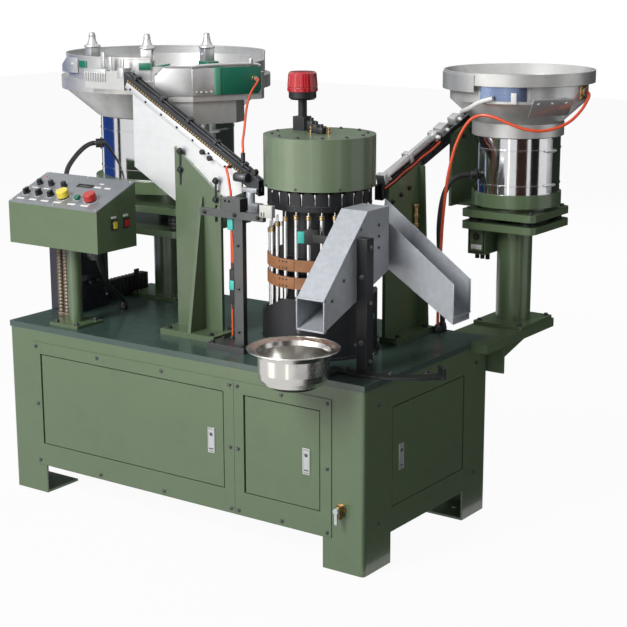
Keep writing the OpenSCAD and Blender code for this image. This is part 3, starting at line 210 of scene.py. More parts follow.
@dataclass(frozen=True)
class Finish:
    """How one kind of surface looks.

    Attributes:
        name: the material's name.
        colour: the clean surface's colour.
        grain: the pattern close up.
        rough: the roughness.
        metal: 1 for bare metal.
        coat: the weight of a clear coat.
        vary: how far the grain moves the colour.
        scale: the grain's frequency per metre along X, Y and Z.
        relief: the grain's height in metres.
        rubbed: the colour of rubbed edges.
        rub: how much of the edges is rubbed.
        soiled: how much grime lies in broad patches.
        clear: the share of light that passes through.
        slot: the record's material slot, where it isn't the name; not used.
        wear: how use shows.
    """

    name: str
    colour: Colour
    grain: Grain = Grain.SMOOTH
    rough: float = 0.4
    metal: float = 0.0
    coat: float = 0.0
    vary: float = 0.06
    scale: Point = (300.0, 300.0, 300.0)
    relief: float = 0.00005
    rubbed: Colour = (0.5, 0.5, 0.48, 1.0)
    rub: float = 0.4
    soiled: float = 0.3
    clear: float = 0.0
    slot: str = ""
    wear: Wear = Wear()

    def pattern(self, graph: Graph, place: Wire) -> Wire:
        """Build the grain's nodes.

        Args:
            graph: the material's nodes.
            place: Object coordinates.

        Returns:
            The grain from 0 to 1.
        """
        spot = graph.node("ShaderNodeMapping", {"Vector": place, "Scale": self.scale})
        if self.grain is Grain.CELLS:
            return graph.cells(spot, "F1")
        if self.grain is Grain.PEBBLED:
            return graph.cells(spot, "SMOOTH_F1") * 0.6 + graph.noise(spot, 2.3) * 0.4
        return graph.noise(spot, 1.0, 5.0 if self.grain is Grain.STREAKED else 2.0)

    def material(self) -> bpy.types.Material:
        """Build the material: grain, grime in patches, rubbed edges, roughness and relief.

        Returns:
            The material.
        """
        made = bpy.data.materials.new(self.name)
        graph = Graph(made)
        wear = self.wear
        place = graph.node("ShaderNodeTexCoord", output="Object")
        grain = self.pattern(graph, place)
        grime = graph.noise(place, *wear.grime)
        tone = graph.mix(grain, shade(self.colour, 1 - self.vary), shade(self.colour, 1 + self.vary))
        soil = (graph.noise(place, *wear.patches) * grime).between(*wear.soil) * self.soiled
        tone = graph.mix(soil, tone, shade(self.colour, wear.soil_shade))
        rounded = graph.node("ShaderNodeBevel", {"Radius": wear.edge}, samples=4)
        flat = graph.node("ShaderNodeNewGeometry", output="Normal")
        level = graph.node("ShaderNodeVectorMath", {0: rounded, 1: flat}, "Value", operation="DOT_PRODUCT")
        worn = (1 - level).between(*wear.bend) * grime.between(*wear.rub) * self.rub
        tone = graph.mix(worn, tone, self.rubbed)
        by_grain, by_soil, by_rubbing = wear.rough
        rough = grain * by_grain + soil * by_soil + worn * by_rubbing + (self.rough - by_grain / 2)
        relief = graph.node("ShaderNodeBump", {"Strength": wear.bump, "Distance": self.relief,
                                               "Height": grain, "Normal": rounded})
        shader = graph.node("ShaderNodeBsdfPrincipled", {
            "Base Color": tone, "Roughness": rough, "Metallic": self.metal, "Coat Weight": self.coat,
            "Coat Roughness": wear.coat, "Transmission Weight": self.clear, "Normal": relief})
        graph.node("ShaderNodeOutputMaterial", {"Surface": shader})
        return made


@lru_cache(maxsize=None)
def material_of(finish: Finish) -> bpy.types.Material:
    """Give a finish's material, made once."""
    return finish.material()


LINES = (4.0, 4.0, 700.0)
FINE = (900.0, 900.0, 900.0)
PRIMER = srgb(150, 160, 140)
BARE = srgb(190, 190, 186)


class Finishes:
    """The finishes of the machine's surfaces."""

    green = Finish("green_paint", srgb(86, 105, 75), rough=0.36, coat=0.5, rubbed=PRIMER)
    pale = Finish("pale_green_paint", srgb(84, 101, 75), rough=0.38, coat=0.4, rubbed=PRIMER)
    # The hood's green paint made lighter as a painted highlight, for the light on the round hood; its slot
    # stays green_paint.
    hood = Finish("hood_paint_painted_highlight", srgb(108, 124, 98), rough=0.34, coat=0.4, rubbed=PRIMER, slot="green_paint")
    table = Finish("table_paint", srgb(56, 76, 70), rough=0.28, coat=0.4, soiled=0.6, rubbed=PRIMER)
    panel = Finish("panel_sheet", srgb(140, 144, 148), Grain.STREAKED, 0.42, 0.45, scale=(6.0, 500.0, 500.0),
                   rub=0.2)
    bowl = Finish("cast_bowl", srgb(200, 200, 199), Grain.STREAKED, 0.36, 0.6, scale=LINES, soiled=0.5,
                  rubbed=BARE, relief=0.0001)
    drum = Finish("drum_sheet", srgb(214, 214, 216), Grain.STREAKED, 0.09, 1.0, vary=0.03,
                  scale=(3.0, 3.0, 260.0), soiled=0.2, rub=0.1, relief=0.00002)
    bright = Finish("bright_plate", srgb(216, 218, 220), Grain.STREAKED, 0.36, 0.6, scale=(5.0, 500.0, 500.0),
                    soiled=0.25, rubbed=BARE)
    rail = Finish("rail_steel", srgb(66, 68, 72), Grain.STREAKED, 0.36, 0.8, scale=(60.0, 500.0, 500.0),
                  rubbed=BARE, rub=0.6)
    dark = Finish("dark_steel", srgb(46, 47, 50), Grain.PEBBLED, 0.42, 0.6, scale=FINE, rubbed=BARE, rub=0.5)
    rod = Finish("rod_steel", srgb(222, 222, 224), Grain.STREAKED, 0.2, 1.0, vary=0.04, scale=LINES, rub=0.1)
    leather = Finish("band_leather", srgb(150, 100, 64), Grain.PEBBLED, 0.55, vary=0.16, scale=FINE,
                     soiled=0.7, rubbed=srgb(200, 150, 105), relief=0.0002)
    stand = Finish("stand_steel", srgb(88, 90, 92), Grain.STREAKED, 0.34, 0.8, scale=LINES, rubbed=BARE)
    zinc = Finish("galvanised_sheet", srgb(172, 176, 182), Grain.CELLS, 0.4, 0.35, vary=0.07,
                  scale=(70.0, 70.0, 70.0), rubbed=BARE, relief=0.00003)
    pot = Finish("pot_steel", srgb(206, 204, 200), Grain.STREAKED, 0.2, 1.0, scale=(5.0, 5.0, 600.0),
                 soiled=0.4, rubbed=BARE)
    latch = Finish("latch_metal", srgb(190, 192, 194), rough=0.3, metal=0.5, rubbed=BARE)
    brass = Finish("valve_brass", srgb(178, 150, 106), rough=0.3, metal=1.0, vary=0.1, soiled=0.6,
                   rubbed=srgb(206, 184, 144))
    black = Finish("black_plastic", srgb(24, 24, 26), Grain.PEBBLED, 0.45, scale=FINE,
                   rubbed=srgb(80, 80, 82))
    yellow = Finish("yellow_plastic", srgb(232, 212, 70), rough=0.3, coat=0.2)
    teal = Finish("green_plastic", srgb(8, 106, 82), coat=0.1)
    red = Finish("red_plastic", srgb(190, 36, 34), rough=0.3, coat=0.2)
    lens = Finish("red_lens", srgb(200, 24, 38), rough=0.16, coat=0.5, clear=0.2)
    armour = Finish("conduit_metal", srgb(124, 112, 98), metal=0.6, soiled=0.7)
    cable = Finish("black_cable", srgb(30, 30, 33), Grain.PEBBLED, 0.42, scale=FINE)
    hose = Finish("orange_hose", srgb(232, 84, 40), rough=0.28, coat=0.3, vary=0.04, rub=0.1)
    navy = Finish("navy_paint", srgb(22, 24, 40), rough=0.3, coat=0.3)
    gear = Finish("gear_grey", srgb(198, 198, 192), rough=0.45)
    motor = Finish("motor_paint", srgb(70, 76, 84))
    white = Finish("white_plate", srgb(232, 232, 230), vary=0.03, soiled=0.15, slot="gear_grey")
    alloy = Finish("aluminium", srgb(206, 207, 208), Grain.STREAKED, 0.34, 0.75, scale=(40.0, 500.0, 500.0),
                   soiled=0.35, rubbed=BARE, slot="bright_plate")
    # Bright plate tinted blue as a painted reflection of a blue surrounding.
    blue_reflection = Finish("blue_reflection_sheet", srgb(120, 136, 168), Grain.STREAKED, 0.24, 0.9, scale=LINES, vary=0.12,
                   rubbed=BARE, slot="bright_plate")
    glass = Finish("display_glass", srgb(14, 16, 18), rough=0.12, coat=0.6, vary=0.02, rub=0.0,
                   slot="black_plastic")
    cyan = Finish("switch_plastic", srgb(60, 184, 172), rough=0.36, coat=0.2, slot="green_plastic")
    # A lighter copy of the teal plastic, as a painted highlight on the chamfered edge of the pan's lining.
    teal_highlight = Finish("teal_painted_highlight", srgb(84, 160, 130), slot="green_plastic")


SOLIDS: dict[Finish, tuple[str, ...]] = {
    Finishes.green: ("corner_legs", "cabinet_walls", "front_panels", "electrical_door", "drive_door",
                     "side_door", "console_post", "console_box", "left_column", "right_column",
                     "left_drive_unit", "right_drive_unit", "right_bracket", "rear_shelf"),
    Finishes.latch: ("electrical_latch", "drive_latch", "side_latch", "drain_lever"),
    Finishes.drum: ("left_drum_cover", "right_drum_cover"),
    Finishes.bowl: ("left_bowl", "right_bowl"),
    Finishes.rail: ("left_track", "right_track"),
    Finishes.black: ("selector_1", "selector_2", "selector_3"),
    Finishes.dark: ("turret_rotor", "dial_plate", "centre_column", "work_holders", "chute_post", "beacon",
                    "cam_housing"),
    Finishes.cable: ("console_cable", "left_feeder_cable", "right_feeder_cable"),
    Finishes.hose: ("left_air_hose", "right_air_hose", "sensor_hose"),
    Finishes.yellow: ("yellow_button", "yellow_rocker"),
    Finishes.red: ("emergency_stop", "red_rocker"),
    Finishes.teal: ("green_button",),
    Finishes.table: ("table_top",),
    Finishes.hood: ("turret_hood",),
    Finishes.pale: ("left_bracket",),
    Finishes.bright: ("left_track_plate",),
    Finishes.panel: ("console_panel",),
    Finishes.gear: ("control_gear",),
    Finishes.motor: ("gear_motor",),
    Finishes.brass: ("drain_valve",),
    Finishes.armour: ("conduits",),
    Finishes.navy: ("air_unit",),
    Finishes.rod: ("push_rods",),
    Finishes.leather: ("friction_bands",),
    Finishes.zinc: ("output_chute",),
    Finishes.pot: ("collecting_pot",),
    Finishes.stand: ("sensor_stand",),
}


def dress_solids() -> None:
    """Give every solid of the frame its finish."""
    for finish, names in SOLIDS.items():
        for name in names:
            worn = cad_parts[name].data.materials
            worn.clear()
            worn.append(material_of(finish))
            log.info("%s: %s", name, finish.name)


def shift(x: float, y: float, z: float) -> Matrix:
    """Give a move by three distances."""
    return Matrix.Translation((x, y, z))


def turned(degrees: float, axis: str = "Z") -> Matrix:
    """Give a turn about one of the axes, in degrees."""
    return Matrix.Rotation(math.radians(degrees), 4, axis)


def facing(spot: Spot, normal: Spot) -> Matrix:
    """Give the place whose own Z runs along a normal and whose own Y is as near as can be to up.

    Args:
        spot: the place's origin.
        normal: the direction of its Z axis.

    Returns:
        The place as a matrix.
    """
    axis = Vector(normal).normalized()
    hint = Vector(BACK if abs(axis.z) > 0.99 else UP)
    side = hint.cross(axis).normalized()
    return shift(*spot) @ Matrix((side, axis.cross(side), axis)).transposed().to_4x4()


def corners(middle: Spot, across: float, along: float) -> list[Vector]:
    """Give the corners of a level rectangle by its middle and half its widths."""
    return [Vector(middle) + Vector((a * across, b * along, 0)) for a in PAIR for b in PAIR]


def row(at: Matrix, first: Point, pitch: float, count: int) -> list[Matrix]:
    """Give evenly spaced places along another place's X."""
    along, across, up = first
    return [at @ shift(along + n * pitch, across, up) for n in range(count)]


def smooth_line(points: Sequence[Spot], spacing: float) -> list[Vector]:
    """Lead one smooth line through points.

    Args:
        points: the points in order.
        spacing: the distance between the points of the line.

    Returns:
        The line's points, about evenly spaced.
    """
    knots = [Vector(point) for point in points]
    line = [knots[0]]
    for n in range(len(knots) - 1):
        start, end = knots[n], knots[n + 1]
        before, after = knots[max(n - 1, 0)], knots[min(n + 2, len(knots) - 1)]
        steps = max(2, round((end - start).length / spacing) + 1)
        lead, trail = start + (end - before) / 6, end - (after - start) / 6
        line += interpolate_bezier(start, lead, trail, end, steps)[1:]
    return line


def ring(middle: Spot, angle: float, radius: float, height: float) -> Vector:
    """Give a place round an upright axis.

    Args:
        middle: a point of the axis.
        angle: the angle round it in degrees.
        radius: the distance from it.
        height: the height above its point.

    Returns:
        The place.
    """
    turn = math.radians(angle)
    return Vector(middle) + Vector((radius * math.cos(turn), radius * math.sin(turn), height))


def outward(angle: float) -> Vector:
    """Give the level direction at an angle in degrees."""
    return ring((0, 0, 0), angle, 1, 0)


class Head(Enum):
    """The sizes of hexagon heads: width over the corners, height, and the washer's diameter."""

    DRAIN = (5.0, 2.0, 6.0)
    GAUGE = (7.0, 3.0, 10.0)
    HOOD = (9.0, 4.5, 13.0)
    CAM = (10.0, 4.0, 14.0)
    PANEL = (10.0, 4.5, 14.0)
    BAR = (11.0, 5.0, 15.0)
    TOOL = (12.0, 5.0, 16.0)
    STAND = (12.0, 6.0, 17.0)
    RAIL = (13.0, 6.0, 18.0)
    SLIDE = (13.0, 6.0, 20.0)
    FOOT = (14.0, 6.0, 19.0)
    BRACKET = (18.0, 8.0, 24.0)


class Shape:
    """A mesh in the making, drawn in millimetres and shaped with bmesh operators."""

    def __init__(self) -> None:
        """Start with an empty mesh."""
        self.bm = bmesh.new()

    def _round(self, verts: Iterable[bmesh.types.BMVert], offset: float, sharpest: float = 0.6) -> None:
        """Bevel the edges among some vertices that are sharper than an angle in radians."""
        chosen = {e for v in verts for e in v.link_edges
                  if len(e.link_faces) == 2 and e.calc_face_angle(0.0) > sharpest}
        bmesh.ops.bevel(self.bm, geom=list(chosen), offset=offset, offset_type="OFFSET", segments=2,
                        profile=0.5, affect="EDGES", material=-1, clamp_overlap=True)

    def _thicken(self, faces: list[bmesh.types.BMFace], way: Vector) -> list[bmesh.types.BMVert]:
        """Extrude flat faces.

        Args:
            faces: the faces, which stay as the back.
            way: how far and where to.

        Returns:
            The vertices of the new front.
        """
        made = bmesh.ops.extrude_face_region(self.bm, geom=faces, use_keep_orig=True)["geom"]
        moved = [g for g in made if isinstance(g, bmesh.types.BMVert)]
        bmesh.ops.translate(self.bm, verts=moved, vec=way)
        return moved

    def box(self, low: Spot, high: Spot, rounded: float = 0.0, at: Matrix = Matrix()) -> "Shape":
        """Add a box between two corners.

        Args:
            low: the lowest corner.
            high: the highest corner.
            rounded: the radius of its edges.
            at: the place that the corners are in.

        Returns:
            This shape.
        """
        low, high = Vector(low), Vector(high)
        place = at @ Matrix.Translation((low + high) / 2) @ Matrix.Diagonal((*(high - low), 1.0))
        verts = bmesh.ops.create_cube(self.bm, size=1.0, matrix=place)["verts"]
        if rounded:
            self._round(verts, rounded)
        return self

    def boxes(self, blocks: Iterable[Block], rounded: float, at: Matrix = Matrix()) -> "Shape":
        """Add a box for each pair of corners.

        Args:
            blocks: the lowest and highest corner of each.
            rounded: the radius of their edges.
            at: the place that the corners are in.

        Returns:
            This shape.
        """
        for low, high in blocks:
            self.box(low, high, rounded, at)
        return self

    def rod(self, at: Matrix, radius: float, height: float, sides: int = 24, rounded: float = 0.0) -> "Shape":
        """Add a cylinder that stands on a place.

        Args:
            at: the place of its foot.
            radius: its radius.
            height: the height along the place's Z.
            sides: the number of sides.
            rounded: the radius of its end edges.

        Returns:
            This shape.
        """
        verts = bmesh.ops.create_cone(self.bm, cap_ends=True, segments=sides, radius1=radius, radius2=radius,
                                      depth=height, matrix=at @ shift(0, 0, height / 2))["verts"]
        if rounded:
            self._round(verts, rounded, sharpest=0.9)
        return self

    def lathe(self, at: Matrix, profile: Profile, steps: int = 48) -> "Shape":
        """Add a body of revolution about a place's Z.

        Args:
            at: the place of its foot.
            profile: radii and heights; a closed loop, or a line from axis to axis.
            steps: the number of steps round.

        Returns:
            This shape.
        """
        verts = [self.bm.verts.new(at @ Vector((radius, 0, height))) for radius, height in profile]
        pairs = list(zip(verts, verts[1:]))
        if profile[0][0] > 0:
            pairs.append((verts[-1], verts[0]))
        edges = [self.bm.edges.new(pair) for pair in pairs]
        before = set(self.bm.verts)
        bmesh.ops.spin(self.bm, geom=verts + edges, cent=at.to_translation(), axis=at.col[2].xyz,
                       angle=math.tau, steps=steps, use_merge=True, dvec=(0.0, 0.0, 0.0))
        poles = [v for v in self.bm.verts if v not in before] + verts
        bmesh.ops.remove_doubles(self.bm, verts=[v for v in poles if v.is_valid], dist=1e-3)
        return self

    def plate(self, at: Matrix, outline: Profile, depth: float, rounded: float) -> "Shape":
        """Add a flat plate.

        Args:
            at: the place of its back face.
            outline: its corners in the place's X and Y.
            depth: its thickness along the place's Z.
            rounded: the radius of its edges.

        Returns:
            This shape.
        """
        back = self.bm.faces.new([self.bm.verts.new(at @ Vector((x, y, 0))) for x, y in outline])
        self._round(self._thicken([back], at.col[2].xyz * depth) + list(back.verts), rounded)
        return self

    def frame(self, at: Matrix, width: float, height: float, border: float, depth: float,
              rounded: float) -> "Shape":
        """Add a flat rectangular frame centred on a place.

        Args:
            at: the place of its back face.
            width: the outer width along the place's X.
            height: the outer height along the place's Y.
            border: the width of its bars.
            depth: its thickness along the place's Z.
            rounded: the radius of its edges.

        Returns:
            This shape.
        """
        verts = bmesh.ops.create_grid(self.bm, x_segments=1, y_segments=1, size=0.5,
                                      matrix=at @ Matrix.Diagonal((width, height, 1.0, 1.0)))["verts"]
        middle = verts[0].link_faces[0]
        bars = bmesh.ops.inset_region(self.bm, faces=[middle], thickness=border, use_boundary=True,
                                      use_even_offset=True)["faces"]
        bmesh.ops.delete(self.bm, geom=[middle], context="FACES")
        self._round(self._thicken(bars, at.col[2].xyz * depth), rounded)
        return self

    def sweep(self, line: Sequence[Vector], radius: float, rib: float = 0.0, sides: int = 12) -> "Shape":
        """Draw a ring along a line and cap its ends.

        Args:
            line: the ring's centres.
            radius: the ring's radius.
            rib: how much less every second radius is.
            sides: the ring's number of sides.

        Returns:
            This shape.
        """
        last = len(line) - 1
        radii = [radius - n % 2 * rib for n in range(last + 1)]
        ways = [(line[min(n + 1, last)] - line[max(n - 1, 0)]).normalized() for n in range(last + 1)]
        verts = bmesh.ops.create_circle(self.bm, cap_ends=True, segments=sides, radius=radius,
                                        matrix=facing(line[0], ways[0]))["verts"]
        edges = list({e for v in verts for e in v.link_edges})
        for n in range(1, last + 1):
            made = bmesh.ops.extrude_edge_only(self.bm, edges=edges)["geom"]
            verts = [g for g in made if isinstance(g, bmesh.types.BMVert)]
            edges = [g for g in made if isinstance(g, bmesh.types.BMEdge) and set(g.verts) <= set(verts)]
            bend = ways[n - 1].rotation_difference(ways[n]).to_matrix().to_4x4()
            grow = Matrix.Scale(radii[n] / radii[n - 1], 4)
            move = Matrix.Translation(line[n]) @ bend @ grow @ Matrix.Translation(-line[n - 1])
            bmesh.ops.transform(self.bm, matrix=move, verts=verts)
        bmesh.ops.contextual_create(self.bm, geom=edges)
        return self

    def bolts(self, spots: Iterable[Spot], normal: Spot, head: Head = Head.FOOT) -> "Shape":
        """Add a hexagon head on a washer at each spot of a face.

        Args:
            spots: the places on the face.
            normal: the face's direction.
            head: the heads' size.

        Returns:
            This shape.
        """
        across, height, washer = head.value
        thick = height * 0.3
        for spot in spots:
            at = facing(spot, normal)
            self.rod(at, washer / 2, thick, 20, thick * 0.2)
            self.rod(at @ shift(0, 0, thick), across / 2, height, 6, height * 0.12)
        return self

    def screws(self, places: Iterable[Matrix], head: float, height: float) -> "Shape":
        """Add a round socket-head screw with its recess at each place.

        Args:
            places: the places on a face.
            head: a head's diameter.
            height: its height.

        Returns:
            This shape.
        """
        half = head / 2
        outline = [(0, 0), (half, 0), (half, height * 0.8), (half * 0.86, height), (half * 0.5, height),
                   (half * 0.5, height * 0.5), (0, height * 0.5)]
        for at in places:
            self.lathe(at, outline, 18)
        return self

    def ribbed(self, at: Matrix, radius: float, rib: float, height: float, pitch: float,
               steps: int = 20) -> "Shape":
        """Add a column with rings round it.

        Args:
            at: the place of its foot.
            radius: the radius between the rings.
            rib: how far a ring stands out.
            height: the column's height.
            pitch: the distance between the rings.
            steps: the number of steps round.

        Returns:
            This shape.
        """
        count = max(1, round(height / pitch))
        step = height / count
        wide = radius + rib
        profile = [(0, 0)]
        for n in range(count):
            profile += [(radius, n * step), (wide, (n + 0.25) * step), (wide, (n + 0.6) * step)]
        return self.lathe(at, [*profile, (radius, height), (0, height)], steps)

    def piece(self, name: str, finish: Finish, body: str = "machine", stands_for: str = "",
              crease: float = 35.0) -> bpy.types.Object:
        """Make this shape into a piece that rides on a body.

        Args:
            name: the piece's name.
            finish: its finish.
            body: the body that it moves with.
            stands_for: the node that it replaces, if any.
            crease: the angle in degrees from which an edge stays sharp.

        Returns:
            The piece.
        """
        bmesh.ops.scale(self.bm, vec=(MM, MM, MM), verts=self.bm.verts)
        bmesh.ops.recalc_face_normals(self.bm, faces=self.bm.faces)
        mesh = bpy.data.meshes.new(name)
        self.bm.to_mesh(mesh)
        self.bm.free()
        mesh.shade_smooth()
        mesh.set_sharp_from_angle(angle=math.radians(crease))
        mesh.materials.append(material_of(finish))
        made = bpy.data.objects.new(name, mesh)
        bpy.context.scene.collection.objects.link(made)
        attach(made, body)
        if stands_for:
            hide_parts(stands_for)
        log.info("%s: %d faces on %s", name, len(mesh.polygons), body)
        return made


@dataclass
class Stage:
    """The floor, the light and the camera, in metres and degrees; the lens and sensor are in millimetres."""

    floor: float = 14.0
    floor_low: float = -0.0006
    floor_colour: Colour = (0.6, 0.6, 0.6, 1.0)
    floor_glow: float = 0.95
    eye: Point = (3.1380, -4.0230, 1.8529)
    turn: float = 35.29
    dip: float = 13.29
    roll: float = -0.14
    lens: float = 89.07
    sensor: float = 36.0
    # Name, place, power, and whether metal mirrors the lamp.
    lamps: tuple[tuple[str, Point, float, bool], ...] = (
        ("key", (-0.7, -5.2, 4.4), 440.0, True), ("back", (-1.4, 5.2, 3.6), 170.0, False))
    lamp_size: Pair = (2.0, 3.2)
    aim: Point = (0.0, 0.0, 0.8)
    fill: float = 0.19
    # First and last direction from the machine, colour, strength and distance.
    cards: tuple[tuple[float, float, Colour, float, float], ...] = (
        (-48, -20, srgb(58, 40, 36), 1.0, 3.3), (-12, 8, srgb(34, 30, 30), 1.0, 3.3),
        (38, 112, srgb(40, 46, 42), 1.0, 3.3), (-152, -146, srgb(30, 30, 34), 1.0, 3.3),
        (112, 156, srgb(84, 92, 90), 1.0, 3.3), (164, 200, srgb(40, 68, 138), 1.0, 3.3),
        (-120, -98, srgb(255, 250, 240), 2.6, 2.3), (-66, -62, srgb(255, 250, 240), 2.6, 2.3))
    card_high: float = 2.6
    mat: Floats = (0.78, 3.2, -0.9, 3.0)  # least and most X, least and most Y
    mat_high: float = 0.0005
    mat_colour: Colour = srgb(44, 50, 46)

    def seen(self, graph: Graph) -> Wire:
        """Tell rays that show the background from rays that light the object.

        Args:
            graph: the nodes to build in.

        Returns:
            1 for the rays that show it.
        """
        camera, glossy, through = (graph.node("ShaderNodeLightPath", output=name)
                                   for name in ("Is Camera Ray", "Is Glossy Ray", "Is Transmission Ray"))
        return (camera + glossy + through).between(0.0, 1.0)

    def put(self, name: str, bm: bmesh.types.BMesh) -> tuple[bpy.types.Object, Graph]:
        """Put a mesh on the stage.

        Args:
            name: its name.
            bm: the mesh in the making.

        Returns:
            The object and the empty nodes of its material.
        """
        mesh = bpy.data.meshes.new(name)
        bm.to_mesh(mesh)
        bm.free()
        paint = bpy.data.materials.new(name)
        mesh.materials.append(paint)
        made = bpy.data.objects.new(name, mesh)
        bpy.context.scene.collection.objects.link(made)
        return made, Graph(paint)

    def lay_floor(self) -> None:
        """Lay a pale floor that keeps the machine's shadow."""
        bm = bmesh.new()
        bmesh.ops.create_grid(bm, x_segments=1, y_segments=1, size=self.floor,
                              matrix=shift(0, 0, self.floor_low))
        _, graph = self.put("floor", bm)
        matt = graph.node("ShaderNodeBsdfDiffuse", {"Color": self.floor_colour})
        glow = graph.node("ShaderNodeEmission", {"Color": WHITE, "Strength": 1.0})
        both = graph.node("ShaderNodeMixShader", {0: self.seen(graph) * self.floor_glow, 1: matt, 2: glow})
        graph.node("ShaderNodeOutputMaterial", {"Surface": both})

    def card(self, name: str, edges: Sequence[Sequence[Point]], colour: Colour, strength: float) -> None:
        """Stand one card that only mirrored rays see.

        Args:
            name: its name.
            edges: the lower and upper corners along it.
            colour: its colour.
            strength: its brightness.
        """
        bm = bmesh.new()
        lines = [[bm.verts.new(corner) for corner in pair] for pair in edges]
        for one, two in zip(lines, lines[1:]):
            bm.faces.new((one[0], two[0], two[1], one[1]))
        card, graph = self.put(name, bm)
        glow = graph.node("ShaderNodeEmission", {"Color": colour, "Strength": strength})
        graph.node("ShaderNodeOutputMaterial", {"Surface": glow})
        for ray in ("camera", "diffuse", "transmission", "volume_scatter", "shadow"):
            setattr(card, f"visible_{ray}", False)

    def stand_cards(self) -> None:
        """Stand cards and lay a mat, out of the camera's sight, for bright metal to mirror."""
        for number, (first, last, colour, strength, far) in enumerate(self.cards, 1):
            steps = max(2, round((last - first) / 6))
            ways = [outward(first + (last - first) * n / steps) * far for n in range(steps + 1)]
            edges = [[(way.x, way.y, z) for z in (0.0, self.card_high)] for way in ways]
            self.card(f"card_{number}", edges, colour, strength)
        left, right, front, back = self.mat
        edges = [[(x, y, self.mat_high) for y in (front, back)] for x in (left, right)]
        self.card("mat", edges, self.mat_colour, 1.0)

    def light(self) -> None:
        """Hang a soft lamp in front and a weaker one without glare behind, and light all round."""
        scene = bpy.context.scene
        scene.view_settings.view_transform = "Standard"
        scene.world = bpy.data.worlds.new("studio")
        graph = Graph(scene.world)
        fill = graph.node("ShaderNodeBackground", {"Color": WHITE, "Strength": self.fill})
        white = graph.node("ShaderNodeBackground", {"Color": WHITE, "Strength": 1.0})
        both = graph.node("ShaderNodeMixShader", {0: self.seen(graph), 1: fill, 2: white})
        graph.node("ShaderNodeOutputWorld", {"Surface": both})
        for name, spot, power, glare in self.lamps:
            lamp = bpy.data.lights.new(name, "AREA")
            lamp.shape = "RECTANGLE"
            lamp.size, lamp.size_y = self.lamp_size
            lamp.energy = power
            hung = bpy.data.objects.new(name, lamp)
            hung.visible_glossy = glare
            aim = Vector(self.aim) - Vector(spot)
            hung.matrix_world = shift(*spot) @ aim.to_track_quat("-Z", "Y").to_matrix().to_4x4()
            scene.collection.objects.link(hung)

    def camera(self) -> None:
        """Stand the camera where the photograph was taken from."""
        data = bpy.data.cameras.new("camera")
        data.lens = self.lens
        data.sensor_width = self.sensor
        camera = bpy.data.objects.new("camera", data)
        look = turned(self.turn) @ turned(90 - self.dip, "X") @ turned(self.roll)
        camera.matrix_world = shift(*self.eye) @ look
        bpy.context.scene.collection.objects.link(camera)
        bpy.context.scene.camera = camera

    def build(self) -> None:
        """Set up the whole stage."""
        self.camera()
        self.lay_floor()
        self.stand_cards()
        self.light()
        log.info("stage: floor, cards, lamps and camera")


@dataclass(frozen=True)
class Route:
    """A cord's course.

    Attributes:
        node: the solid that it stands for.
        finish: its finish.
        radius: its radius.
        points: the points of its line from its upper end, with heights above the table.
        rib: the height of the rings on a corrugated sleeve.
        stiff: how stiff it is; not used.
        gland: whether its lower end goes through a gland in the table.
    """

    node: str
    finish: Finish
    radius: float
    points: Points
    rib: float = 0.0
    stiff: str = "medium"
    gland: bool = False


